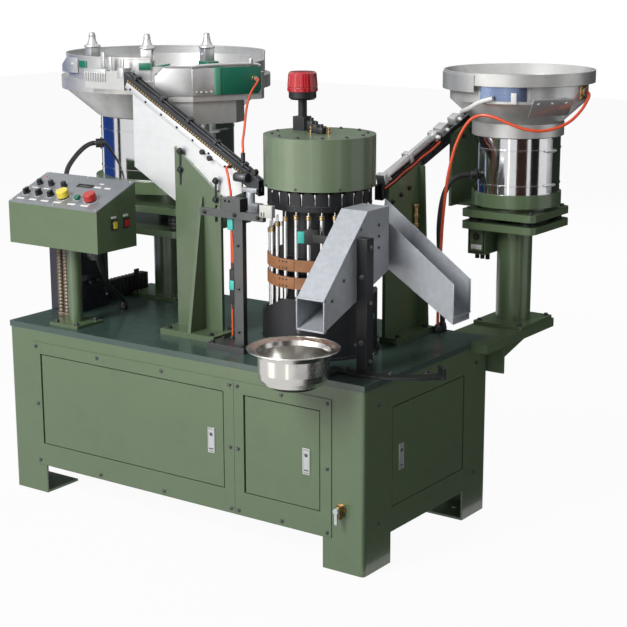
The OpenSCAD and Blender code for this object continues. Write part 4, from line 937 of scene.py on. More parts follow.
@dataclass
class Cords:
    """The machine's free cables and hoses."""

    table: float = 600.0
    spacing: float = 4.0
    nut: Pair = (15.2, 15.6)  # radius and height
    dome: float = 13.0
    dome_heights: Point = (15, 20, 27)
    wall: float = 2.5
    fit: float = 0.4
    routes: tuple[Route, ...] = (
        Route("console_cable", Finishes.cable, 8.0, (
            (-470, -205, 278), (-470, -205, 240), (-471, -196, 210), (-476, -170, 160), (-488, -130, 112),
            (-502, -92, 84), (-514, -56, 62), (-521, -34, 46), (-524, -22, 31), (-524, -20, 23),
            (-524, -20, 16)), gland=True),
        Route("left_feeder_cable", Finishes.cable, 9.0, (
            (-740, 95, 565), (-747.3, 88.1, 565), (-754, 74, 561), (-757, 54, 553), (-755, 26, 540),
            (-750, 0, 527), (-743, -28, 512), (-733, -56, 496), (-720, -80, 478), (-706, -100, 452),
            (-694, -116, 424), (-684, -130, 398), (-678, -142, 385), (-676, -152, 380),
            (-676, -163, 380)), rib=0.8, stiff="stiff"),
        Route("right_feeder_cable", Finishes.cable, 9.0, (
            (592, 481, 512), (582, 470, 512), (566, 452, 508), (552, 434, 496), (543, 418, 476),
            (538, 404, 450), (536, 392, 415), (536, 382, 370), (538, 376, 320), (548, 368, 220),
            (564, 356, 120), (570, 352, 75), (572, 350, 40), (572, 350, 16)), gland=True),
        Route("left_air_hose", Finishes.hose, 4.0, (
            (-73, 183.5, 820), (-64, 179, 820), (-55, 168, 815), (-50, 150, 804), (-46, 125, 788),
            (-38, 98, 768), (-22, 64, 744), (0, 28, 720), (24, -8, 696), (48, -44, 674), (70, -78, 656),
            (88, -104, 644), (100, -119, 634), (105, -125, 624), (105, -125, 615))),
        Route("right_air_hose", Finishes.hose, 5.0, (
            (944, 605, 793), (951, 605, 793), (957, 601, 788), (959, 589, 774), (950, 562, 740),
            (930, 524, 706), (900, 486, 686), (862, 452, 678), (820, 424, 684), (776, 404, 700),
            (730, 392, 718), (686, 384, 724), (648, 378, 708), (622, 368, 668), (604, 356, 616),
            (594, 344, 556), (588, 334, 492), (580, 324, 350), (572, 320, 80), (572, 320, 16)), gland=True),
        Route("sensor_hose", Finishes.hose, 4.0, (
            (66, -151, 570), (66, -158, 570), (70, -167, 567), (78, -174, 558), (88, -180, 538),
            (96, -183, 508), (100, -184, 470), (100, -184, 240), (100, -184, 16)), gland=True),
    )

    def lay(self, route: Route) -> None:
        """Lay one cord along its course.

        Args:
            route: the cord's course.
        """
        line = smooth_line([(x, y, z + self.table) for x, y, z in route.points], self.spacing)
        tube = Shape().sweep(line, route.radius, route.rib)
        piece = tube.piece(f"{route.node}_run", route.finish, stands_for=route.node, crease=80.0)
        path = [point * MM for point in line]
        length = sum((b - a).length for a, b in zip(path, path[1:]))
        2 * route.radius * MM

    def build(self) -> None:
        """Lay every cord, with a hexagon gland and its dome round each one that goes into the table."""
        glands = Shape()
        for route in self.routes:
            self.lay(route)
            if route.gland:
                x, y, _ = route.points[-1]
                foot = shift(x, y, self.table)
                bore = route.radius + self.fit
                glands.rod(foot, *self.nut, sides=6, rounded=1)
                low, bend, top = self.dome_heights
                glands.lathe(foot, [(bore, low), (self.dome, low), (self.dome, bend),
                                    (bore + self.wall, top), (bore, top)], 24)
        glands.piece("table_glands", Finishes.black)


@dataclass
class Cabinet:
    """The bolts of the cabinet's panels and walls, and its latches' frames and keys."""

    face: float = -373
    side: float = 735
    rows: Floats = (526, 118)
    columns: Floats = (-610, -328, -47, 233, 263, 433, 603)
    ends: Floats = (-610, 233, 263, 603)
    middle: float = 322
    wall_spots: Pairs = ((-292, 526), (-292, 150), (292, 526), (292, 150))  # along Y and Z
    shelf_spots: Points = ((640, 730, 600), (760, 730, 600))
    drain: Point = (655, -375, 205)
    drain_r: float = 11.5
    drain_turns: Floats = (0.8, 2.4, 3.9, 5.5)  # in radians
    # Door, the latch's place across the wall, and the wall's direction.
    doors: tuple[tuple[str, float, Point], ...] = (
        ("electrical", 157, FRONT), ("drive", 527, FRONT), ("side", -164, RIGHT))
    latch: float = 330.5
    bezel: Floats = (27.4, 83.4, 3.4, 2.6, 0.6)  # width, height, border, depth, rounding
    lock: Point = (0, 20, 1.9)
    barrel: Profile = ((0, 0), (6, 0), (6, 1.2), (5, 1.8), (0, 1.8))
    slot: Block = ((-0.7, -3.4, 1.7), (0.7, 3.4, 2.1))
    lip: Block = ((-8, -50, 0), (8, -46, 1.4))

    def bolts(self) -> None:
        """Build the bolts of the front panels, the right wall, the rear shelf and the drain cock's flange."""
        spots = [(x, self.face, z) for z in self.rows for x in self.columns]
        spots += [(x, self.face, self.middle) for x in self.ends]
        Shape().bolts(spots, FRONT, Head.PANEL).piece("panel_bolts", Finishes.stand)
        wall = Shape().bolts([(self.side, y, z) for y, z in self.wall_spots], RIGHT, Head.PANEL)
        wall.bolts(self.shelf_spots, UP)
        at = facing(self.drain, FRONT)
        flange = [at @ (Vector((math.cos(a), math.sin(a), 0)) * self.drain_r) for a in self.drain_turns]
        wall.bolts(flange, FRONT, Head.DRAIN).piece("wall_bolts", Finishes.stand)

    def build(self) -> None:
        """Build the bolts, and the frame, the lock and the lip of every latch."""
        self.bolts()
        for door, across, wall in self.doors:
            spot = (across, self.face, self.latch) if wall is FRONT else (self.side, across, self.latch)
            at = facing(spot, wall)
            Shape().frame(at, *self.bezel).piece(f"{door}_latch_frame", Finishes.latch, f"{door}_door")
            key = at @ shift(*self.lock)
            lock = Shape().lathe(key, self.barrel, 24).box(*self.slot, at=key).box(*self.lip, 0.5, key)
            lock.piece(f"{door}_latch_key", Finishes.stand, f"{door}_latch")


@dataclass
class Console:
    """The console's plates, collars, knobs, display, sleeves and bolts."""

    middle: Point = (-508, -373, 1016)
    slope: float = 22
    lift: float = 3
    # The lower row's places across the panel, with the radius of each hole.
    lower: Pairs = ((-168, 13.6), (-110, 13.6), (-55, 13.6), (4, 22), (68, 11.6), (127, 22))
    row: float = 61
    selectors: int = 3
    line: Block = ((-0.9, 1, 20), (0.9, 11, 20.9))
    trims: Floats = (-165, -111, -52)
    trim_row: float = 127
    knob: Profile = ((0, -0.2), (11, -0.2), (10.6, 6.2), (9, 6.8), (8.7, 17.2), (7.6, 17.8), (0, 17.8))
    knob_rib: Block = ((8.2, -0.8, 7), (9.6, 0.8, 16.4))
    knob_ribs: int = 12
    lower_plate: Point = (27, 17, 4.5)  # place up, half the sizes
    trim_plate: Point = (101, 14, 3)
    # Place across and up, half the width and half the height.
    plates: tuple[Floats, ...] = ((88, 143, 15, 4), (132, 143, 13, 4), (88, 166, 9, 3))
    lamp: Pair = (-169, 168)
    lamp_ring: Profile = ((3.6, -0.2), (6.5, -0.2), (6, 2), (3.6, 2.4))
    lamp_cap: Profile = ((0, 0), (3.8, 0), (3.6, 3), (2.2, 5), (0, 5.6))
    display: Pair = (31, 143)
    glass: Block = ((-30, -5, -0.2), (30, 5, 0.9))
    bezel: Floats = (68, 18, 4, 2.6, 0.7)
    screw_spots: Pairs = ((-190, 9), (-190, 196), (0, 9), (0, 196), (190, 9), (190, 196))
    right: float = -306.5
    rockers: Pair = (-292, -234)
    rocker_high: float = 964
    rocker_half: Pair = (12.4, 16.4)
    rocker_plate: Block = ((-12, 21, -0.2), (12, 29, 0.8))
    gland: Point = (-676, -183, 980)
    gland_nut: Pair = (15.2, 15)  # radius and height
    gland_sleeve: Floats = (12, 1, 5.4, 2.6)  # radius, rib, height, pitch
    conduits: Points = ((-634, -216, 0), (-606, -216, 0))
    conduit_nuts: Pair = (600, 863.6)
    conduit_nut: Pair = (16.4, 14.4)  # radius and height
    sleeve_low: float = 614
    sleeve: Floats = (10.3, 2.2, 250, 12.5)  # radius, rib, height, pitch
    post: Point = (-508, -278, 610)
    post_half: float = 46

    def on_panel(self, across: float, up: float) -> Matrix:
        """Give a place on the inclined panel, with Z out of it and Y up the slope."""
        return shift(*self.middle) @ turned(self.slope, "X") @ shift(across, up, self.lift)

    def on_wall(self, y: float) -> Matrix:
        """Give a rocker's place on the right wall, with X to the back, Y up and Z out of it."""
        return facing((self.right, y, self.rocker_high), RIGHT)

    def blanks(self) -> None:
        """Build the blank plates beside the controls."""
        made = Shape()
        spots = [(across, *self.lower_plate) for across, _ in self.lower]
        spots += [(across, *self.trim_plate) for across in self.trims]
        for across, up, half, high in (*spots, *self.plates):
            made.box((-half, -high, -0.2), (half, high, 0.8), 0.3, self.on_panel(across, up))
        for y in self.rockers:
            made.box(*self.rocker_plate, 0.3, self.on_wall(y))
        made.piece("console_plates", Finishes.white)

    def collars(self) -> None:
        """Build the bright rings round the controls, the lamp's ring and the panel's screws."""
        made = Shape()
        for across, hole in self.lower:
            made.lathe(self.on_panel(across, self.row),
                       [(hole, -0.2), (hole + 3.4, -0.2), (hole + 3, 1.6), (hole, 1.8)])
        made.lathe(self.on_panel(*self.lamp), self.lamp_ring, 24)
        made.screws([self.on_panel(*spot) for spot in self.screw_spots], 8, 3)
        made.piece("console_collars", Finishes.latch)

    def black_parts(self) -> None:
        """Build the trim knobs' caps, the display's frame, the rockers' frames and the cable's gland."""
        made = Shape()
        for across in self.trims:
            at = self.on_panel(across, self.trim_row)
            made.lathe(at, self.knob, 30)
            for n in range(self.knob_ribs):
                made.box(*self.knob_rib, 0.4, at @ turned(n * 360 / self.knob_ribs))
        made.frame(self.on_panel(*self.display) @ shift(0, 0, -0.2), *self.bezel)
        wide, high = self.rocker_half
        for y in self.rockers:
            at = self.on_wall(y)
            for side in PAIR:
                x, z = side * (wide - 2), side * (high - 1.5)
                made.box((x - 2, -high, 0), (x + 2, high, 6.5), 0.5, at)
                made.box((-wide, z - 1.5, 0), (wide, z + 1.5, 6.5), 0.5, at)
        nut = facing(self.gland, BACK)
        made.rod(nut, *self.gland_nut, 6, 1).ribbed(nut @ shift(0, 0, 14), *self.gland_sleeve)
        made.piece("console_black_parts", Finishes.black)

    def build(self) -> None:
        """Build every fitting of the console."""
        self.blanks()
        self.collars()
        self.black_parts()
        Shape().box(*self.glass, 0.3, self.on_panel(*self.display)).piece("console_display", Finishes.glass)
        Shape().lathe(self.on_panel(*self.lamp), self.lamp_cap, 20).piece("console_lamp", Finishes.lens)
        for number, (across, _) in enumerate(self.lower[:self.selectors], 1):
            line = Shape().box(*self.line, 0.3, self.on_panel(across, self.row))
            line.piece(f"selector_{number}_line", Finishes.white, f"selector_{number}")
        sleeves = Shape()
        for foot in self.conduits:
            sleeves.ribbed(shift(*foot) @ shift(0, 0, self.sleeve_low), *self.sleeve)
            for z in self.conduit_nuts:
                sleeves.rod(shift(*foot) @ shift(0, 0, z), *self.conduit_nut, 6, 1)
        sleeves.piece("conduit_sleeves", Finishes.armour)
        bolts = Shape().bolts(corners(self.post, self.post_half, self.post_half), UP)
        bolts.piece("console_post_bolts", Finishes.stand)


@dataclass
class AirUnit:
    """The air unit behind the console: its face plate, gauge, fittings and the ribs of its rail."""

    middle: Point = (-615, -80, 740)
    plate: Floats = (150, 220, 9, 3, 0.8)
    cover: Block = ((-60, -96, -0.5), (60, -10, 2))
    rib: Block = ((-691, 12, 600), (-659, 23, 672))
    ribs: int = 13
    pitch: float = 20
    tab: Block = ((-669, 200, 671), (-663, 224, 690))
    taps: Pairs = ((-60, 16), (-20, 20), (20, 16))  # place across and length
    tap_low: float = -40
    gauge_high: float = 60
    gauge: Profile = ((0, 0), (24, 0), (24, 12), (21, 14), (20, 11), (0, 11))
    bolt_spots: Pairs = ((-70, -98), (-70, 98), (70, -98), (70, 98))

    def build(self) -> None:
        """Build the unit's fittings."""
        face = facing(self.middle, RIGHT)
        plate = Shape().frame(face, *self.plate).box(*self.cover, 0.8, face)
        plate.piece("air_unit_face", Finishes.navy)
        ribs = Shape()
        for n in range(self.ribs):
            ribs.box(*self.rib, 2, shift(0, n * self.pitch, 0))
        for across, far in self.taps:
            ribs.ribbed(face @ shift(across, self.tap_low, 2), 9, 1.2, far, 5)
        ribs.box(*self.tab, 1).piece("air_unit_ribs", Finishes.black)
        gauge = Shape().lathe(face @ shift(0, self.gauge_high, 2), self.gauge, 40)
        gauge.bolts([face @ Vector((x, y, 2.5)) for x, y in self.bolt_spots], RIGHT, Head.GAUGE)
        gauge.piece("air_unit_gauge", Finishes.latch)


@dataclass
class Feeder:
    """The fittings that both feeders share.

    Attributes:
        name: the side that it stands on.
        axis: the foot of its axis on the floor.
        half: half the side of its square plates.
        lower: the top of its lower plate.
        mount: the height of its rubber mounts.
        upper: the thickness of its upper plate.
        drum: the radius of its drum cover.
        drum_low: the drum cover's lower edge.
        drum_high: its height.
        cable: the first point of its cable.
        base: the middle of its base plate's bolts.
        base_half: half the distances between them.
        seams: the angles of the drum's lap seams in degrees.
        mount_in: how far the mounts stand inside the plates' edges.
        bolt_in: how far the upper plate's bolts do.
    """

    name: str
    axis: Point
    half: float
    lower: float
    mount: float
    upper: float
    drum: float
    drum_low: float
    drum_high: float
    cable: Point
    base: Point
    base_half: Pair
    seams: Floats
    mount_in: float = 40
    bolt_in: float = 22

    def mounts(self) -> None:
        """Build the ribbed rubber mounts between the two plates."""
        made = Shape()
        far = self.half - self.mount_in
        for spot in corners(self.axis, far, far):
            made.ribbed(shift(spot.x, spot.y, self.lower + 0.3), 22.3, 2.6, self.mount - 0.6,
                        max(8.0, self.mount / 4), 28)
        made.piece(f"{self.name}_feeder_mounts", Finishes.black)

    def plate_bolts(self) -> None:
        """Build the bolts of the base plate and of the upper plate's corners."""
        far = self.half - self.bolt_in
        top = Vector(self.axis) + Vector((0, 0, self.lower + self.mount + self.upper))
        bolts = Shape().bolts(corners(self.base, *self.base_half), UP).bolts(corners(top, far, far), UP)
        bolts.piece(f"{self.name}_feeder_plate_bolts", Finishes.stand)

    def gland(self) -> None:
        """Build the ribbed gland where the cable leaves the drum."""
        start = Vector(self.cable)
        across = Vector((start.x - self.axis[0], start.y - self.axis[1], 0))
        way = across.normalized()
        reach = across.length - self.drum
        at = facing(start - way * (reach - 0.2), way)
        made = Shape().rod(at, 21, 5, 6, 0.8).ribbed(at @ shift(0, 0, 4.6), 15.4, 1.3, reach - 5.4, 3.4)
        made.piece(f"{self.name}_feeder_cable_gland", Finishes.black)

    def lap_seams(self) -> None:
        """Build the drum's lap seams with their rivets and the drum's band clamps."""
        made = Shape()
        half = self.drum_high / 2 - 3
        for angle in self.seams:
            foot = ring(self.axis, angle, self.drum - 0.6, self.drum_low + self.drum_high / 2)
            at = facing(foot, outward(angle))
            made.box((-12, -half, 0), (12, half, 1.6), 0.6, at)
            made.screws([at @ shift(6, n * half * 0.42, 1.4) for n in range(-2, 3)], 5, 1.6)
            for up in (-0.7 * half, 0.56 * half):
                made.box((-20, up - 5, 1), (20, up + 5, 6), 1.2, at)
                made.rod(at @ shift(-26, up, 4) @ turned(90, "Y"), 3, 52, 12)
        made.piece(f"{self.name}_drum_seams", Finishes.bright)

    def curved(self, radius: float, first: float, last: float, low: float, high: float,
               thick: float) -> Shape:
        """Build a curved plate round the axis.

        Args:
            radius: its inner radius.
            first: the angle where it starts in degrees.
            last: the angle where it ends.
            low: the height of its lower edge.
            high: the height of its upper edge.
            thick: its thickness.

        Returns:
            The plate.
        """
        made = Shape()
        section = [(radius, low), (radius + thick, low), (radius + thick, high), (radius, high)]
        verts = [made.bm.verts.new(ring(self.axis, first, r, z)) for r, z in section]
        face = made.bm.faces.new(verts)
        bmesh.ops.spin(made.bm, geom=[face, *face.edges, *verts], cent=self.axis, axis=UP, use_merge=False,
                       angle=math.radians(last - first), steps=max(6, round((last - first) / 4)),
                       dvec=(0.0, 0.0, 0.0))
        return made

    def build(self) -> None:
        """Build the shared fittings."""
        self.mounts()
        self.plate_bolts()
        self.gland()
        self.lap_seams()


@dataclass
class LeftFeeder(Feeder):
    """The large feeder on the left, with the tooling of its bowl."""

    name: str = "left"
    axis: Point = (-550, 275, 0)
    half: float = 220
    lower: float = 885
    mount: float = 57
    upper: float = 24
    drum: float = 240
    drum_low: float = 1054
    drum_high: float = 215
    cable: Point = (-740, 95, 1165)
    base: Point = (-550, 267, 612)
    base_half: Pair = (84, 76)
    seams: Floats = (-8, 100)
    body: str = "left_bowl"
    bowl: Point = (-550, 275, 1272)
    clamps: Floats = (-103, -61, -23)
    clamp_r: float = 314
    clamp_low: float = 149
    block: Block = ((-19, -19, 53.8), (19, 19, 98))
    pad: Block = ((-22.6, -22.6, 27.6), (44.6, 22.6, 54.4))
    dome: Profile = ((0, 97), (27, 97), (29, 100), (27, 104), (19, 108), (13, 120), (11, 132), (0, 132))
    cap: Profile = ((0, 138), (10, 138), (9.4, 144), (5, 148), (0, 149))
    strip: Block = ((6, 20, 30), (30, 86, 36))
    strip_tilt: float = 9.1673
    pan: Points = ((-302, -77, 1349), (-198, -3, 1349), (-80, 221, 1349))
    plates: Pair = (20, 112)
    lined: float = 78
    # Left edge, lower edge, upper edge and width.
    straps: tuple[Floats, ...] = (
        (-518, 1446, 1508, 16), (-488, 1440, 1494, 18), (-432, 1444, 1488, 15))
    strap_face: float = -96
    comb: Block = ((-556, -145, 1414), (-551, -139, 1446))
    teeth: int = 9
    tooth_pitch: float = 11
    bars: Blocks = (((-558, -144, 1440), (-460, -120, 1455)), ((-408, -143, 1430), (-383, -100, 1462)))
    guard_place: Pair = (356, 158)  # radius and height
    guard_bolt: Point = (-62, 28, 4)
    guard: Profile = ((-125, 0), (-30, 0), (-30, 52), (-96, 52), (-125, 26))
    # Radius, first and last angle, lower and upper edge, thickness.
    rim_band: Floats = (352.4, 30, 302, 1413.4, 1486, 2.4)
    rim_bead: Floats = (351, 30, 302, 1485, 1491, 5)
    nozzle: Point = (-74, 184, 1420)
    nozzle_way: float = -27.8
    nozzle_back: float = 26
    nozzle_end: Profile = ((0, 11), (9, 11), (9, 20), (8.2, 25), (0, 25))

    def clamp(self, angle: float) -> Matrix:
        """Give a clamp post's foot, with X away from the axis."""
        return shift(*ring(self.bowl, angle, self.clamp_r, self.clamp_low)) @ turned(angle)

    def clamp_metal(self) -> None:
        """Build the clamp posts' square blocks, threaded studs and dome nuts."""
        made = Shape()
        for at in map(self.clamp, self.clamps):
            made.box(*self.block, 1.6, at).lathe(at, self.dome, 32)
            made.rod(at @ shift(0, 0, 131), 12, 8, 6, 1).lathe(at, self.cap, 24)
            made.screws([at @ shift(0, -19, 76) @ turned(90, "X")], 10, 4)
        made.piece("left_clamp_metal", Finishes.alloy, self.body)

    def clamp_pads(self) -> None:
        """Build the clamp posts' green plastic pads and the strip beside the middle one."""
        made = Shape()
        for at in map(self.clamp, self.clamps):
            made.box(*self.pad, 3, at)
        made.box(*self.strip, 1.5, self.clamp(self.clamps[1]) @ turned(self.strip_tilt, "X"))
        made.piece("left_clamp_pads", Finishes.teal, self.body)

    def on_pan(self, first: int) -> tuple[Matrix, float]:
        """Give the place on one of the pan's outer walls and the wall's length.

        Args:
            first: the number of the wall's left corner.

        Returns:
            The wall's lower left corner, with X along it and Z outward, and its length.
        """
        start, end = Vector(self.pan[first]), Vector(self.pan[first + 1])
        return facing(start, (end - start).cross(Vector(UP))), (end - start).length

    def pan_metal(self) -> None:
        """Build the aluminium plates on the pan's walls, with the air pipe above them."""
        low, high = self.plates
        at, long = self.on_pan(0)
        wall, far = self.on_pan(1)
        made = Shape().plate(at, [(2, low), (long, low), (long, high), (30, high), (2, high - 28)], 4, 0.8)
        made.box((-3, low, 0), (self.lined, high, 4), 0.8, wall)
        made.screws([wall @ shift(12 + n * 18, low + 12, 3.8) for n in range(4)], 7, 3)
        course = ((-6, high + 4), (60, high + 8), (far - 40, high + 8), (far - 8, high))
        made.sweep(smooth_line([wall @ Vector((x, y, 2)) for x, y in course], 10), 6)
        for x in (14, far - 60):
            made.box((x, 86, -3), (x + 14, high + 4, 3), 1, wall)
        made.rod(wall @ shift(far - 40, high + 8, 2) @ turned(-90, "X"), 7, 18, 20, 1.5)
        made.piece("left_pan_metal", Finishes.alloy, self.body)

    def tooling(self) -> None:
        """Build the straps, the comb, the bars and the guard round the bowl's outlet."""
        made = Shape()
        for x, low, high, wide in self.straps:
            at = facing((x, self.strap_face, low), FRONT)
            made.box((0, 0, 0), (wide, high - low, 6), 0.8, at)
            made.screws([at @ shift(wide / 2, (high - low) * up, 5.6) for up in (0.55, 0.8)], 7, 2.4)
        for n in range(self.teeth):
            made.box(*self.comb, 0.8, shift(n * self.tooth_pitch, 0, 0))
        made.boxes(self.bars, 1.2)
        way = outward(self.clamps[0])
        at = facing(ring(self.bowl, self.clamps[0], *self.guard_place), way)
        made.plate(at, self.guard, 4, 0.8).bolts([at @ Vector(self.guard_bolt)], way, Head.TOOL)
        made.piece("left_tooling", Finishes.alloy, self.body)

    def build(self) -> None:
        """Build the left feeder's fittings."""
        super().build()
        self.clamp_metal()
        self.clamp_pads()
        self.pan_metal()
        self.tooling()
        wall, far = self.on_pan(1)
        low, high = self.plates
        outline = [(self.lined, low), (far - 14, low), (far - 4, low + 14), (far - 4, high),
                   (self.lined, high)]
        Shape().plate(wall, outline, 5, 1.2).piece("left_pan_lining", Finishes.teal, self.body)
        # A strip of lighter teal at the lining's edge: a painted highlight on the chamfer there.
        edge = Shape().box((self.lined, low, -1), (self.lined + 22, high + 1, 6.6), 2.4, wall)
        edge.piece("left_pan_highlight_strip", Finishes.teal_highlight, self.body)
        self.curved(*self.rim_band).piece("left_rim_band", Finishes.alloy, self.body)
        self.curved(*self.rim_bead).piece("left_rim_bead", Finishes.bowl, self.body)
        way = outward(self.nozzle_way)
        at = facing(Vector(self.nozzle) - way * self.nozzle_back, way)
        brass = Shape().rod(at, 11, 12, 6, 0.8).lathe(at, self.nozzle_end, 20)
        brass.piece("left_nozzle", Finishes.brass, self.body)


@dataclass
class RightFeeder(Feeder):
    """The small feeder on the right, with its controller box and the plates on its bowl."""

    name: str = "right"
    axis: Point = (701, 605, 0)
    half: float = 137.5
    lower: float = 955
    mount: float = 17
    upper: float = 24
    drum: float = 143
    drum_low: float = 1056
    drum_high: float = 186
    cable: Point = (592, 481, 1112)
    base: Point = (701, 607, 612)
    base_half: Pair = (76, 98)
    seams: Floats = (-14, 100)
    body: str = "right_bowl"
    # Radius, first and last angle, lower and upper edge, thickness.
    blue_reflection_band: Floats = (228, -95, -56, 1372, 1416, 2)
    alloy_band: Floats = (228, -54, -6, 1376, 1416, 2.5)
    rim_plate: Floats = (250.3, -150, -97, 1398, 1452, 3)
    flap: Block = ((-72, -62, -2), (72, 2, 2))
    flap_place: Point = (-34, 233, 1377)  # angle, radius and height
    flap_way: Pair = (0.86, -0.5)  # outward and up
    flap_screws: Floats = (-50, 0, 50)
    clip_place: Point = (-66, 231, 1384)  # angle, radius and height
    clip: Block = ((-9, -20, -1), (9, 16, 9))
    nozzle: Point = (926, 605, 1393)
    nozzle_block: Block = ((-22, -22, -3), (22, 22, 11))
    nozzle_end: Profile = ((0, 10), (15, 10), (15, 13), (12, 15), (9, 16.6), (0, 16.6))
    nozzle_screws: Pairs = ((-15, -15), (15, 15))
    box: Point = (606, 510, 886)
    bezel: Floats = (60, 84, 5, 2, 0.6)
    dial: Profile = ((0, 0), (11, 0), (10, 9), (0, 9.6))
    outlets: Points = ((585, 555, 838.4), (605, 555, 838.4), (625, 555, 838.4))
    blank: Block = ((-20, -30, -0.3), (20, -14, 0.8))

    def bowl_plates(self) -> None:
        """Build the bands, the first one tinted blue as a painted reflection, the plates and the clip on the
        bowl.
        """
        # The first band is bright plate with a painted blue reflection.
        self.curved(*self.blue_reflection_band).piece("right_blue_reflection_band", Finishes.blue_reflection, self.body)
        self.curved(*self.alloy_band).piece("right_alloy_band", Finishes.alloy, self.body)
        out, up = self.flap_way
        at = facing(ring(self.axis, *self.flap_place), outward(self.flap_place[0]) * out + Vector((0, 0, up)))
        plates = self.curved(*self.rim_plate).box(*self.flap, 0.8, at)
        plates.screws([at @ shift(across, -14, 1.8) for across in self.flap_screws], 9, 3)
        plates.piece("right_bowl_plates", Finishes.alloy, self.body)
        at = facing(ring(self.axis, *self.clip_place), outward(self.clip_place[0]))
        Shape().box(*self.clip, 1.5, at).piece("right_bowl_clip", Finishes.white, self.body)

    def build(self) -> None:
        """Build the right feeder's fittings."""
        super().build()
        self.bowl_plates()
        at = facing(self.nozzle, RIGHT)
        brass = Shape().box(*self.nozzle_block, 2, at).lathe(at, self.nozzle_end, 24)
        brass.screws([at @ shift(x, y, 10.6) for x, y in self.nozzle_screws], 8, 3)
        brass.piece("right_nozzle", Finishes.brass, self.body)
        at = facing(self.box, FRONT)
        face = Shape().frame(at, *self.bezel).lathe(at @ shift(0, 14, 0), self.dial, 24)
        for spot in self.outlets:
            face.ribbed(facing(spot, DOWN), 7, 0.8, 22, 4)
        face.piece("right_controller_parts", Finishes.black)
        Shape().box(*self.blank, 0.3, at).piece("right_controller_plate", Finishes.white)


